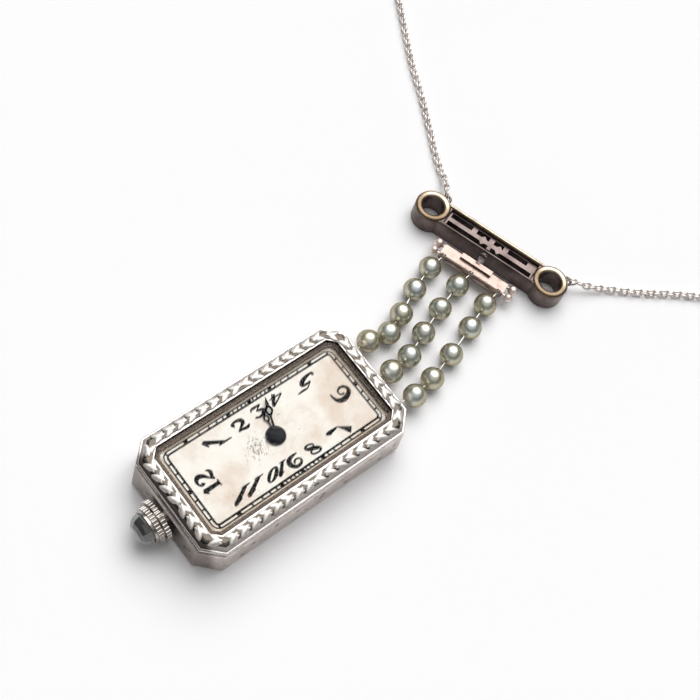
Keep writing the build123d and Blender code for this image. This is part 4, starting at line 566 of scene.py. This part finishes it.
def softenedNode(node, name, width, material, body):
    # a copy of a CAD node with its edges rounded as polishing leaves them
    settings = {"flatAngle": 0.5, "sharpAngle": 24, "segments": 2}
    bm = bmesh.new()
    bm.from_mesh(cadNodes[node].data)
    bmesh.ops.remove_doubles(bm, verts=bm.verts, dist=weld)
    bmesh.ops.dissolve_limit(bm, angle_limit=radians(settings["flatAngle"]), verts=bm.verts, edges=bm.edges)
    sharpAngle = radians(settings["sharpAngle"])
    sharp = [edge for edge in bm.edges if edge.is_manifold and edge.calc_face_angle(0) > sharpAngle]
    bmesh.ops.bevel(bm, geom=sharp, offset=width * mm, offset_type="OFFSET", segments=settings["segments"],
                    profile=0.5, affect="EDGES", clamp_overlap=True, material=-1)
    piece = finishPiece(name, bm, material, body)
    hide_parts(node)


def smoothCurve(points, widths, **settings):
    # a line or a tube drawn smoothly towards its points, as a mesh
    curve = bpy.data.curves.new("curve", "CURVE")
    curve.dimensions = "3D"
    for label, value in settings.items():
        setattr(curve, label, value)
    spline = curve.splines.new("NURBS")
    spline.points.add(len(points) - 1)
    for target, point, width in zip(spline.points, points, widths):
        target.co = (*point, 1)
        target.radius = width
    spline.order_u = 3
    spline.use_endpoint_u = True
    holder = bpy.data.objects.new("curve", curve)
    mesh = bpy.data.meshes.new_from_object(holder)
    bpy.data.objects.remove(holder)
    bpy.data.curves.remove(curve)
    return mesh


def turned(bm, profile, steps=48):
    # a profile of radius and height spun round Z
    points = [bm.verts.new((radius * mm, 0, height * mm)) for radius, height in profile]
    edges = [bm.edges.new(pair) for pair in zip(points, points[1:])]
    bmesh.ops.spin(bm, geom=points + edges, cent=(0, 0, 0), axis=(0, 0, 1), angle=radians(360), steps=steps,
                   use_merge=True)
    bmesh.ops.remove_doubles(bm, verts=bm.verts, dist=weld / 2)
    bmesh.ops.recalc_face_normals(bm, faces=bm.faces)


def dressNodes():
    dress = {
        "caseGold": ["case_tube", "strand_staples", "clasp_body", "clasp_trigger", "clasp_tag"],
        "crownGold": ["crown"],
        "crystalGlass": ["crystal"],
        "dialSilver": ["dial"],
        "giltBrass": ["centre_wheel", "third_wheel", "fourth_wheel", "barrel_drum", "minute_wheel", "hour_wheel",
                      "balance_wheel"],
        "plateNickel": ["main_plate", "barrel_bridge", "train_bridge", "balance_cock", "pallet_cock",
                        "movement_ring"],
        "brightSteel": ["barrel_arbor", "bridge_screws", "click", "click_spring", "crown_wheel",
                        "escape_wheel", "pallet_fork", "ratchet_wheel", "setting_lever", "sliding_pinion",
                        "winding_pinion", "winding_stem", "mainspring", "hairspring"],
        "ruby": ["jewels"],
        "bluedSteel": ["hour_hand", "minute_hand", "cannon_pinion"],
        "onyx": ["crown_stone"],
        "wireSteel": ["wire_left", "wire_middle", "wire_right"],
        "pearlNacre": ["pearls_left", "pearls_middle", "pearls_right"],
        "clipGold": ["clip_frame", "clip_openwork", "clip_link"],
        "barGold": ["spacer_bar"],
        "pinGold": ["clip_pin", "strand_pin"],
        "chainGold": ["chain_left", "chain_right", "coil_left", "coil_right", "jump_rings"],
        "bandGold": ["case_band"],
        "bezelGold": ["bezel", "case_back"],
    }
    for material, names in dress.items():
        for name in names:
            for slot in cadNodes[name].material_slots:
                slot.link = "OBJECT"
                slot.material = finishes[material]


dressNodes()


# the chain, link by link along each half's line

def chainLine(route, winding):
    # the part that is laid out, and then a flat spiral inwards
    settings = {
        "innerRadius": 4.0, "step": 1.45, "halfTurns": 8, "pointsPerTurn": 16,
        "startPoints": 2,  # the spiral's first points, which stay within its outer radius
        "smoothness": 12,
    }
    step, perTurn = settings["step"], settings["pointsPerTurn"]
    outerRadius = settings["innerRadius"] + step / 2 * (settings["halfTurns"] - 1) + step / 4
    end, before = Vector(route[-1]), Vector(route[-2])
    heading = (end - before).normalized()
    outward = Vector((heading.y, -heading.x, 0)) * winding
    sideways = Vector((-outward.y, outward.x, 0)) * winding
    middle = end - outward * outerRadius
    points = [Vector(point) for point in route]
    widen = 1 / cos(pi / perTurn)   # the curve runs inside its points
    for index in range(1, settings["halfTurns"] * perTurn // 2 + 1):
        turns = index / perTurn
        reach = (outerRadius - step * turns) * widen
        if index <= settings["startPoints"]:
            reach = min(reach, outerRadius)
        angle = 2 * pi * turns
        points.append(middle + (outward * cos(angle) + sideways * sin(angle)) * reach)
    line = smoothCurve([point * mm for point in points], [1] * len(points), resolution_u=settings["smoothness"])
    found = [vertex.co.copy() for vertex in line.vertices]
    bpy.data.meshes.remove(line)
    return found


def evenPoints(line, pitch):
    points, travelled, due = [line[0]], 0.0, pitch
    for first, second in zip(line, line[1:]):
        run = (second - first).length
        while run > 0 and travelled + run >= due:
            points.append(first.lerp(second, (due - travelled) / run))
            due += pitch
        travelled += run
    return points, travelled


def chainLink(settings):
    # a ring of round wire, pulled out along X
    bm = bmesh.new()
    wire = settings["wire"] / 2
    ring = bmesh.ops.create_circle(bm, segments=settings["wireSides"], radius=wire * mm,
                                   matrix=Matrix.Rotation(radians(90), 4, "X"))
    across = (settings["width"] / 2 - wire) * mm
    bmesh.ops.translate(bm, verts=ring["verts"], vec=(across, 0, 0))
    bmesh.ops.spin(bm, geom=bm.edges[:] + bm.verts[:], cent=(0, 0, 0), axis=(0, 0, 1), angle=radians(360),
                   steps=settings["ringSteps"], use_merge=True)
    bmesh.ops.remove_doubles(bm, verts=bm.verts, dist=weld)
    stretch = (settings["length"] - settings["width"]) / 2 * mm
    for vertex in bm.verts:
        if abs(vertex.co.x) > settings["middle"] * mm:
            vertex.co.x += stretch if vertex.co.x > 0 else -stretch
    bmesh.ops.recalc_face_normals(bm, faces=bm.faces)
    return asMesh("chainLink", bm)


def buildChains():
    settings = {
        "width": 0.98, "length": 1.38, "wire": 0.28, "slack": 0.04, "lean": 45,
        "wireSides": 6, "ringSteps": 12, "middle": 0.01,
    }
    halves = {
        "Left": {
            "route": [(-14.95, 38.1, 1.45), (-16.35, 39.3, 0.85), (-18.0, 39.95, 0.55), (-20.3, 41.05, 0.5),
                      (-23.4, 42.8, 0.5), (-28.0, 45.3, 0.5), (-32.6, 47.45, 0.5), (-37.2, 50.1, 0.5),
                      (-41.9, 52.9, 0.5), (-46.9, 55.5, 0.5), (-51.5, 58.4, 0.5)],
            "winding": -1, "length": 0.2063, "nodes": ["chain_left", "coil_left"],
            "with": ["clasp_body", "clasp_trigger"],
        },
        "Right": {
            "route": [(3.82, 43.36, 1.45), (5.1, 44.75, 0.85), (6.6, 47.05, 0.5), (8.0, 48.7, 0.5),
                      (9.7, 51.0, 0.5), (11.55, 53.7, 0.5), (13.6, 56.2, 0.5), (17.2, 61.3, 0.5),
                      (21.2, 66.0, 0.5)],
            "winding": 1, "length": 0.193, "nodes": ["chain_right", "coil_right"], "with": ["clasp_tag"],
        },
    }
    pitch = (settings["length"] - 2 * settings["wire"] + settings["slack"]) * mm
    link = chainLink(settings)
    for side, half in halves.items():
        line = chainLine(half["route"], half["winding"])
        places, length = evenPoints(line, pitch)
        bm = bmesh.new()
        for index, (place, ahead) in enumerate(zip(places, places[1:])):
            way = (ahead - place).normalized()
            level = Vector((0, 0, 1)).cross(way).normalized()
            lean = radians(settings["lean"] if index % 2 else -settings["lean"])
            flat = level * cos(lean) + way.cross(level) * sin(lean)
            turn = Matrix([way, flat, way.cross(flat)]).transposed().to_4x4()
            known = len(bm.verts)
            bm.from_mesh(link)
            bm.verts.ensure_lookup_table()
            bmesh.ops.transform(bm, matrix=Matrix.Translation((place + ahead) / 2) @ turn, verts=bm.verts[known:])
        piece = finishPiece("chain" + side, bm, "chainGold", "clip", smoothAngle=80)
        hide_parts(*half["nodes"])
        print("chain", side, "links", len(places) - 1, "length", round(length / mm, 1))
    bpy.data.meshes.remove(link)


buildChains()


# the case

def octagonSides(halfX, halfY, cut):
    corners = [
        (halfX - cut, halfY), (halfX, halfY - cut), (halfX, cut - halfY), (halfX - cut, -halfY),
        (cut - halfX, -halfY), (-halfX, cut - halfY), (-halfX, halfY - cut), (cut - halfX, halfY),
    ]
    return [(Vector(a), Vector(b)) for a, b in zip(corners, corners[1:] + corners[:1])]


def makeLeaf(bm, settings):
    # lies along X and narrows to both ends
    made = bmesh.ops.create_uvsphere(bm, u_segments=settings["around"], v_segments=settings["rings"], radius=1,
                                     matrix=Matrix.Rotation(radians(90), 4, "Y"))
    length, width, height = (settings[label] * mm for label in ("length", "width", "height"))
    for vertex in made["verts"]:
        along, across, up = vertex.co
        narrow = 1 - settings["taper"] * abs(along)
        vertex.co = (along * length / 2, across * narrow * width / 2, up * height)
    return made["verts"]


def buildLeaves():
    settings = {
        "crest": (6.50, 12.61, 1.43), "crestZ": 5.86, "pitch": 1.36,
        "endRoom": 0.35,  # of a pitch, left free on each side of the octagon
        "length": 1.62, "width": 0.76, "height": 0.12, "taper": 0.3, "around": 8, "rings": 6,
        "pair": ((0.26, 0, 0, -30), (-0.12, 0.05, 20, 30)),  # inset, drop, tilt and splay
        "longSide": 10,  # leaves, over which a side has knots in its middle
        "knots": ((-0.32, 0.15), (0, 0.3), (0.32, 0.15)),  # place along the side and radius
        "knotInset": 0.05, "knotRise": 0.6,
    }
    bm = bmesh.new()
    for start, end in octagonSides(*settings["crest"]):
        run = (end - start).length
        way = (end - start).normalized()
        middle = (start + end) / 2
        outward = Vector((-way.y, way.x))
        if outward.dot(middle) < 0:
            outward = -outward
        side = outward.to_3d()
        count = max(1, round(run / settings["pitch"] - settings["endRoom"]))
        pitch = run / (count + settings["endRoom"])
        for index in range(count):
            offset = (index - (count - 1) / 2) * pitch
            forward = way.to_3d() * (1 if offset >= 0 else -1)
            for inset, drop, tilt, splay in settings["pair"]:
                along = forward * cos(radians(splay)) + side * sin(radians(splay))
                up = Vector((0, 0, 1)) * cos(radians(tilt)) + side * sin(radians(tilt))
                along = (along - up * along.dot(up)).normalized()
                turn = Matrix([along, up.cross(along), up]).transposed().to_4x4()
                place = middle + way * offset - outward * inset
                stand = placeAt(*place, settings["crestZ"] - drop)
                bmesh.ops.transform(bm, matrix=stand @ turn, verts=makeLeaf(bm, settings))
        if count > settings["longSide"]:
            for along, radius in settings["knots"]:
                place = middle + way * along - outward * settings["knotInset"]
                knot = bmesh.ops.create_icosphere(bm, subdivisions=2, radius=radius * mm)
                squeeze = Matrix.Diagonal((1, 1, settings["knotRise"], 1))
                stand = placeAt(*place, settings["crestZ"])
                bmesh.ops.transform(bm, matrix=stand @ squeeze, verts=knot["verts"])
    finishPiece("bezelLeaves", bm, "leafGold", "case", smoothAngle=50)


softenedNode("case_back", "caseBackPolished", 0.06, "caseGold", "case")
softenedNode("case_band", "caseBandPolished", 0.07, "bandGold", "case")
softenedNode("bezel", "bezelPolished", 0.05, "bezelGold", "case")
buildLeaves()
print("case is dressed")


# the dial's print, laid just over its face

dialTop = 4.95


def buildTrack():
    settings = {
        "halfX": 4.638, "halfY": 10.742, "halfWidth": 0.2, "cornerRadius": 0.7, "cornerSegments": 6,
        "lines": ((-0.2, 0.22), (0.2, 0.15)),  # place across the track and width
        "blockWidth": 0.52, "tickWidth": 0.2,
        "endRoom": 0.05,  # how far past the corner a short side's tick may stand
        "sideRoom": 0.2,  # how far a long side's ticks stay clear of the corner
        "thickness": 0.01, "lift": 0.001,
    }
    halfX, halfY, across = settings["halfX"], settings["halfY"], 2 * settings["halfWidth"]
    bm = bmesh.new()
    for shift, width in settings["lines"]:
        part = bmesh.new()
        bmesh.ops.create_grid(part, x_segments=1, y_segments=1, size=1)
        for vertex in part.verts:
            vertex.co.x *= (halfX + shift + width / 2) * mm
            vertex.co.y *= (halfY + shift + width / 2) * mm
        bmesh.ops.bevel(part, geom=part.verts[:], offset=(settings["cornerRadius"] + shift) * mm,
                        segments=settings["cornerSegments"], profile=0.5, affect="VERTICES", material=-1)
        bmesh.ops.inset_region(part, faces=part.faces[:], thickness=width * mm, use_boundary=True,
                               use_even_offset=True)
        bmesh.ops.delete(part, geom=[face for face in part.faces if len(face.verts) > 4], context="FACES")
        takeIn(bm, asMesh("trackRing", part))
    for minute in range(60):
        angle = radians(6 * minute)
        width = settings["blockWidth"] if minute % 5 == 0 else settings["tickWidth"]
        if abs(tan(angle)) * halfY < halfX + settings["endRoom"]:
            sign = 1 if cos(angle) > 0 else -1
            place = (halfY * tan(angle), -sign * halfY, 0)
            size = (width * mm, across * mm, 1, 1)
        else:
            sign = 1 if sin(angle) > 0 else -1
            height = halfX / tan(angle)
            if abs(height) > halfY - settings["sideRoom"]:
                continue
            place = (-sign * halfX, -height * sign, 0)
            size = (across * mm, width * mm, 1, 1)
        tick = bmesh.ops.create_grid(bm, x_segments=1, y_segments=1, size=0.5)
        bmesh.ops.transform(bm, matrix=placeAt(*place) @ Matrix.Diagonal(size), verts=tick["verts"])
    bmesh.ops.solidify(bm, geom=bm.faces[:], thickness=-settings["thickness"] * mm)
    bmesh.ops.recalc_face_normals(bm, faces=bm.faces)
    low = min(vertex.co.z for vertex in bm.verts)
    bmesh.ops.translate(bm, verts=bm.verts, vec=(0, 0, (dialTop + settings["lift"]) * mm - low))
    finishPiece("dialTrack", bm, "ink", "case")


# each numeral as pen strokes: points across, up and half width, in a box one unit high
strokes = {
    "0": [[(0.27, 0.97, 0.045), (0.07, 0.86, 0.10), (0.02, 0.5, 0.125), (0.07, 0.14, 0.10), (0.27, 0.03, 0.045),
           (0.47, 0.14, 0.09), (0.52, 0.5, 0.11), (0.47, 0.86, 0.09), (0.27, 0.97, 0.045)]],
    "1": [[(0.36, 0.0, 0.09), (0.36, 0.5, 0.115), (0.36, 0.96, 0.12)],
          [(0.38, 1.0, 0.06), (0.26, 0.90, 0.06), (0.14, 0.76, 0.03)],
          [(0.16, -0.02, 0.03), (0.36, 0.02, 0.07), (0.58, -0.02, 0.03)]],
    "lone 1": [[(0.38, 0.0, 0.08), (0.39, 0.5, 0.10), (0.42, 0.95, 0.12)],
               [(0.42, 1.0, 0.06), (0.20, 0.70, 0.06), (-0.04, 0.34, 0.04)],
               [(0.02, -0.02, 0.04), (0.38, 0.02, 0.06), (0.76, 0.0, 0.035)]],
    "2": [[(0.16, 0.70, 0.10), (0.04, 0.80, 0.07), (0.16, 0.98, 0.05), (0.44, 0.99, 0.09), (0.60, 0.78, 0.13),
           (0.48, 0.50, 0.10), (0.20, 0.26, 0.05), (0.02, 0.04, 0.04)],
          [(0.02, 0.05, 0.04), (0.18, 0.14, 0.07), (0.38, 0.04, 0.10), (0.56, 0.05, 0.08), (0.66, 0.24, 0.025)]],
    "3": [[(0.02, 0.72, 0.03), (0.05, 0.95, 0.05), (0.30, 0.93, 0.09), (0.62, 0.97, 0.03)],
          [(0.60, 0.96, 0.03), (0.42, 0.74, 0.05), (0.26, 0.56, 0.035)],
          [(0.26, 0.56, 0.03), (0.52, 0.54, 0.08), (0.62, 0.28, 0.13), (0.42, 0.0, 0.08), (0.10, 0.02, 0.05),
           (0.06, 0.18, 0.08)]],
    "4": [[(0.48, 0.0, 0.10), (0.48, 0.5, 0.11), (0.48, 0.98, 0.07)],
          [(0.48, 0.98, 0.04), (0.22, 0.64, 0.05), (0.0, 0.30, 0.035)],
          [(0.0, 0.29, 0.035), (0.34, 0.30, 0.055), (0.72, 0.29, 0.03)]],
    "5": [[(0.10, 0.98, 0.03), (0.34, 0.92, 0.09), (0.62, 1.00, 0.03)],
          [(0.12, 0.96, 0.04), (0.10, 0.76, 0.04), (0.08, 0.56, 0.035)],
          [(0.08, 0.56, 0.04), (0.34, 0.66, 0.07), (0.58, 0.46, 0.12), (0.54, 0.14, 0.12), (0.24, -0.02, 0.06),
           (0.02, 0.06, 0.05), (0.06, 0.22, 0.08)]],
    "6": [[(0.60, 0.98, 0.04), (0.32, 1.00, 0.07), (0.0, 0.78, 0.13), (0.0, 0.38, 0.14), (0.22, 0.0, 0.10),
           (0.56, 0.06, 0.08), (0.66, 0.40, 0.06), (0.46, 0.62, 0.045), (0.22, 0.50, 0.05), (0.28, 0.32, 0.055)]],
    "7": [[(0.04, 0.66, 0.02), (-0.02, 0.94, 0.06), (0.24, 0.90, 0.13), (0.66, 1.00, 0.03)],
          [(0.64, 1.00, 0.03), (0.54, 0.62, 0.08), (0.42, 0.22, 0.17), (0.38, 0.04, 0.19)]],
    "8": [[(0.30, 0.98, 0.05), (0.08, 0.90, 0.07), (0.10, 0.66, 0.10), (0.34, 0.50, 0.13), (0.54, 0.30, 0.10),
           (0.48, 0.06, 0.06), (0.28, 0.0, 0.05), (0.06, 0.08, 0.06), (0.04, 0.30, 0.06), (0.26, 0.50, 0.04),
           (0.48, 0.68, 0.06), (0.50, 0.90, 0.06), (0.30, 0.98, 0.05)]],
    "9": [[(0.06, 0.02, 0.04), (0.34, 0.0, 0.07), (0.66, 0.22, 0.13), (0.66, 0.62, 0.13), (0.44, 1.00, 0.09),
           (0.10, 0.94, 0.07), (0.0, 0.60, 0.05), (0.20, 0.38, 0.045), (0.44, 0.50, 0.05), (0.38, 0.68, 0.055)]],
}


def strokeMesh(stroke, place, across, up, pen, thickness):
    # one pen stroke as a flattened tube; across and up are the axes it is written on
    points = [across * right + up * height for right, height, half in stroke]
    widths = [half * pen for right, height, half in stroke]
    mesh = smoothCurve(points, widths, resolution_u=10, bevel_depth=1.0, bevel_resolution=2, use_fill_caps=True)
    mesh.transform(Matrix.Translation(place) @ Matrix.Diagonal((1, 1, thickness / max(widths), 1)))
    return mesh


def buildNumerals():
    settings = {"step": 0.64, "digitWidth": 0.6, "thickness": 0.02}
    # digits, centre, the axes across and up, and the pen, in mm: the uprights point at the hub,
    # and 4, 5, 7 and 8 have their tops towards it
    numerals = [
        ("12", (0.31, -8.71), (-1.95, 0), (0, -1.9), 2.2),
        (["lone 1"], (-3.02, -5.96), (0, 2.2), (-1.15, -2.15), 2.2),
        ("2", (-3.02, -2.42), (0, 2.4), (-1.25, -0.45), 2.0),
        ("3", (-3.24, 0.06), (0, 2.2), (-1.25, 0), 2.1),
        ("4", (-3.32, 2.60), (0, -2.2), (1.25, -0.8), 2.1),
        ("5", (-3.06, 6.38), (0, -2.6), (1.3, -1.5), 2.1),
        ("6", (0.10, 8.70), (-2.1, 0), (0, -2.1), 2.2),
        ("7", (3.38, 6.02), (0, 2.7), (-1.15, -1.85), 2.1),
        ("8", (3.30, 2.38), (0, 2.35), (-1.3, -0.6), 2.0),
        ("9", (3.34, 0.10), (0, -2.1), (1.3, -0.1), 2.2),
        ("10", (3.25, -2.22), (0, -2.0), (1.2, -1.2), 1.75),
        ("11", (3.19, -5.84), (0, -2.6), (1.15, -2.1), 1.9),
    ]
    bm = bmesh.new()
    for digits, centre, across, up, pen in numerals:
        across, up = Vector((*across, 0)) * mm, Vector((*up, 0)) * mm
        width = settings["step"] * (len(digits) - 1) + settings["digitWidth"]
        middle = Vector((*centre, dialTop)) * mm
        for index, digit in enumerate(digits):
            corner = middle + across * (index * settings["step"] - width / 2) - up / 2
            for stroke in strokes[digit]:
                takeIn(bm, strokeMesh(stroke, corner, across, up, pen * mm, settings["thickness"] * mm))
    bmesh.ops.recalc_face_normals(bm, faces=bm.faces)
    finishPiece("dialNumerals", bm, "ink", "case", smoothAngle=60)


def buildHand(name, node, body, settings):
    bm = bmesh.new()
    low, boss, length = settings["low"], settings["boss"], settings["length"]
    rings = [(boss * share, low + height) for share, height in settings["bossProfile"]]
    turned(bm, [(settings["hole"], low)] + rings + settings["centre"])
    way = radians(settings["turn"])
    forward, side = Vector((cos(way), sin(way), 0)), Vector((-sin(way), cos(way), 0))
    place = Vector((0, 0, low + settings["bladeRise"])) * mm
    for stroke in settings["strokes"]:
        points = [(along * length, across * length, half * length) for along, across, half in stroke]
        takeIn(bm, strokeMesh(points, place, forward * mm, side * mm, mm, settings["bladeThickness"] * mm))
    bmesh.ops.recalc_face_normals(bm, faces=bm.faces)
    piece = finishPiece(name, bm, "bluedSteel", body, smoothAngle=40)
    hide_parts(node)


def buildHands():
    minutes = 3 * 60 + 18.5
    both = {
        # shares of the boss's radius, and heights over the hand's underside
        "bossProfile": [(0.96, 0), (1, 0.03), (0.93, 0.09), (0.74, 0.10), (0.72, 0.07), (0.66, 0.07)],
        "bladeRise": 0.06, "bladeThickness": 0.05,
        # along, across and half width, as shares of the length
        "strokes": [
            [(0.2, 0, 0.03), (0.42, 0, 0.022), (0.50, 0, 0.024)],
            [(0.50, 0, 0.03), (0.56, 0.05, 0.025), (0.63, 0.085, 0.028), (0.71, 0.05, 0.03), (0.76, 0, 0.03)],
            [(0.50, 0, 0.03), (0.56, -0.05, 0.025), (0.63, -0.085, 0.028), (0.71, -0.05, 0.03), (0.76, 0, 0.03)],
            [(0.74, 0, 0.04), (0.80, 0, 0.05), (0.90, 0, 0.025), (1.0, 0, 0.002)],
        ],
    }
    buildHand("hourHandSpade", "hour_hand", "hour", {
        **both, "low": 5.08, "boss": 1.1, "hole": 0.61, "turn": -90 - minutes / 2, "length": 3.35,
        "centre": [(0.69, 5.20), (0.64, 5.21), (0.61, 5.19), (0.61, 5.08)]})
    buildHand("minuteHandSpade", "minute_hand", "centre", {
        **both, "low": 5.32, "boss": 0.8, "hole": 0.39, "turn": -90 - minutes * 6, "length": 4.35,
        "centre": [(0.50, 5.45), (0.46, 5.48), (0.30, 5.49), (0.27, 5.54), (0.10, 5.56), (0.0, 5.56), (0.0, 5.53),
                   (0.26, 5.52), (0.39, 5.44), (0.39, 5.32)]})


buildTrack()
buildNumerals()
buildHands()
print("dial is printed and the hands are on")


# crown, clip and pearls

def buildCrownStone():
    # a dome cut with flat facets, over a plain band
    settings = {
        "radius": 1.69, "seatY": -15.6, "bandY": -16.08, "tipY": -17.40, "axisZ": 2.65,
        "facets": 10, "tableFrom": 0.9, "tableShare": 0.93,
    }
    bm = bmesh.new()
    bmesh.ops.create_uvsphere(bm, u_segments=settings["facets"], v_segments=settings["facets"], radius=1)
    bmesh.ops.bisect_plane(bm, geom=bm.verts[:] + bm.edges[:] + bm.faces[:], plane_co=(0, 0, 0),
                           plane_no=(0, 0, -1), clear_outer=True)
    radius, rise = settings["radius"], settings["bandY"] - settings["tipY"]
    for vertex in bm.verts:
        share = settings["tableShare"] if vertex.co.z > settings["tableFrom"] else 1
        vertex.co = (vertex.co.x * radius, vertex.co.y * radius, vertex.co.z * rise * share)
    rim = [edge for edge in bm.edges if edge.is_boundary]
    down = bmesh.ops.extrude_edge_only(bm, edges=rim)
    foot = [item for item in down["geom"] if isinstance(item, bmesh.types.BMVert)]
    bmesh.ops.translate(bm, verts=foot, vec=(0, 0, settings["bandY"] - settings["seatY"]))
    bmesh.ops.contextual_create(bm, geom=[edge for edge in bm.edges if edge.is_boundary])
    turn = Matrix.Rotation(radians(90), 4, "X")
    place = placeAt(0, settings["bandY"], settings["axisZ"])
    bmesh.ops.transform(bm, matrix=place @ turn @ Matrix.Diagonal((mm, mm, mm, 1)), verts=bm.verts)
    bmesh.ops.recalc_face_normals(bm, faces=bm.faces)
    piece = finishPiece("crownStoneCut", bm, "onyx", "stem", smoothAngle=12)
    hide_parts("crown_stone")


def buildClipTrim():
    # a rounded ridge on each rail and rounded rims on the end loops
    settings = {
        "centre": (-5.81, 37.14), "turn": 18.8, "half": 8.3, "across": 1.375, "top": 2.5,
        "ridge": 0.24, "ridgeSides": 20, "nearShare": 0.7,
        "loopRadius": 1.75, "rimHalf": 0.43, "rimRise": 0.25, "rimSides": 14,
    }
    place = placeAt(*settings["centre"], 0) @ Matrix.Rotation(radians(settings["turn"]), 4, "Z")
    # the far ridge takes the lighter copy of the clip gold, a painted highlight; the near ridge takes the plain
    # clip gold
    for name, side, share, material in (
        ("clipFarRidge", 1, 1, "litRidgeGold"),
        ("clipNearRidge", -1, settings["nearShare"], "clipGold"),
    ):
        bm = bmesh.new()
        rod = bmesh.ops.create_cone(bm, cap_ends=True, segments=settings["ridgeSides"], radius1=1, radius2=1,
                                    depth=2 * (settings["half"] - settings["loopRadius"]) * mm,
                                    matrix=Matrix.Rotation(radians(90), 4, "Y"))
        thick = settings["ridge"] * share * mm
        shift = placeAt(0, side * settings["across"], settings["top"])
        bmesh.ops.transform(bm, matrix=place @ shift @ Matrix.Diagonal((1, thick, thick, 1)), verts=rod["verts"])
        finishPiece(name, bm, material, "clip", smoothAngle=60)
    angles = [2 * pi * step / settings["rimSides"] for step in range(settings["rimSides"] + 1)]
    profile = [(settings["loopRadius"] + settings["rimHalf"] * cos(angle),
                settings["top"] + settings["rimRise"] * sin(angle)) for angle in angles]
    bm = bmesh.new()
    for side in (-1, 1):
        rim = bmesh.new()
        turned(rim, profile)
        ring = asMesh("loopRim", rim)
        ring.transform(place @ Matrix.Translation((side * settings["half"] * mm, 0, 0)))
        takeIn(bm, ring)
    # the loop rims take the lighter copy of the clip gold too, a painted highlight
    finishPiece("clipLoopRims", bm, "litRidgeGold", "clip", smoothAngle=60)


def buildPearls():
    settings = {
        "radius": 1.375, "gap": 3.85, "startY": 14.51, "reach": 17.6,
        "lifts": (0.42, 0.08, 0.02, 0.02, 0.04),
        # along in shares of the reach, and sideways in shares of the gap
        "strands": {
            "left": ((0.120, -1.05), (0.285, -0.95), (0.446, -1.25), (0.639, -1.67), (0.833, -1.99)),
            "middle": ((0.113, 0.09), (0.293, -0.03), (0.480, -0.38), (0.691, -0.73), (0.905, -1.04)),
            "right": ((0.130, 1.06), (0.315, 0.92), (0.535, 0.63), (0.770, 0.27), (0.972, -0.07)),
        },
        "around": 36, "rings": 24, "uneven": 0.035, "waves": 1.4,
        "dip": 0.05, "dipFrom": 0.975, "dipReach": 0.025,  # at the drilled ends
    }
    radius = settings["radius"]
    for strand, spots in settings["strands"].items():
        bm = bmesh.new()
        centres = [
            Vector((side * settings["gap"], settings["startY"] + along * settings["reach"], radius * (1 + lift)))
            for (along, side), lift in zip(spots, settings["lifts"])
        ]
        for index, centre in enumerate(centres):
            ahead = centres[min(index + 1, len(centres) - 1)] - centres[max(index - 1, 0)]
            turn = ahead.to_track_quat("Z", "Y").to_matrix().to_4x4()
            ball = bmesh.ops.create_uvsphere(
                bm, u_segments=settings["around"], v_segments=settings["rings"], radius=1)
            for vertex in ball["verts"]:
                wave = 0.5 + 0.5 * noise.noise(vertex.co * settings["waves"] + centre)
                pole = max(0, abs(vertex.co.z) - settings["dipFrom"]) / settings["dipReach"]
                size = radius * (1 - settings["uneven"] * wave - settings["dip"] * pole)
                vertex.co = vertex.co * size * mm
            bmesh.ops.transform(bm, matrix=Matrix.Translation(centre * mm) @ turn, verts=ball["verts"])
        piece = finishPiece("pearls" + strand.capitalize(), bm, "pearlNacre", "strand_" + strand,
                            smoothAngle=70)
        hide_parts("pearls_" + strand)


buildCrownStone()
buildClipTrim()
buildPearls()
print("pearls are strung")
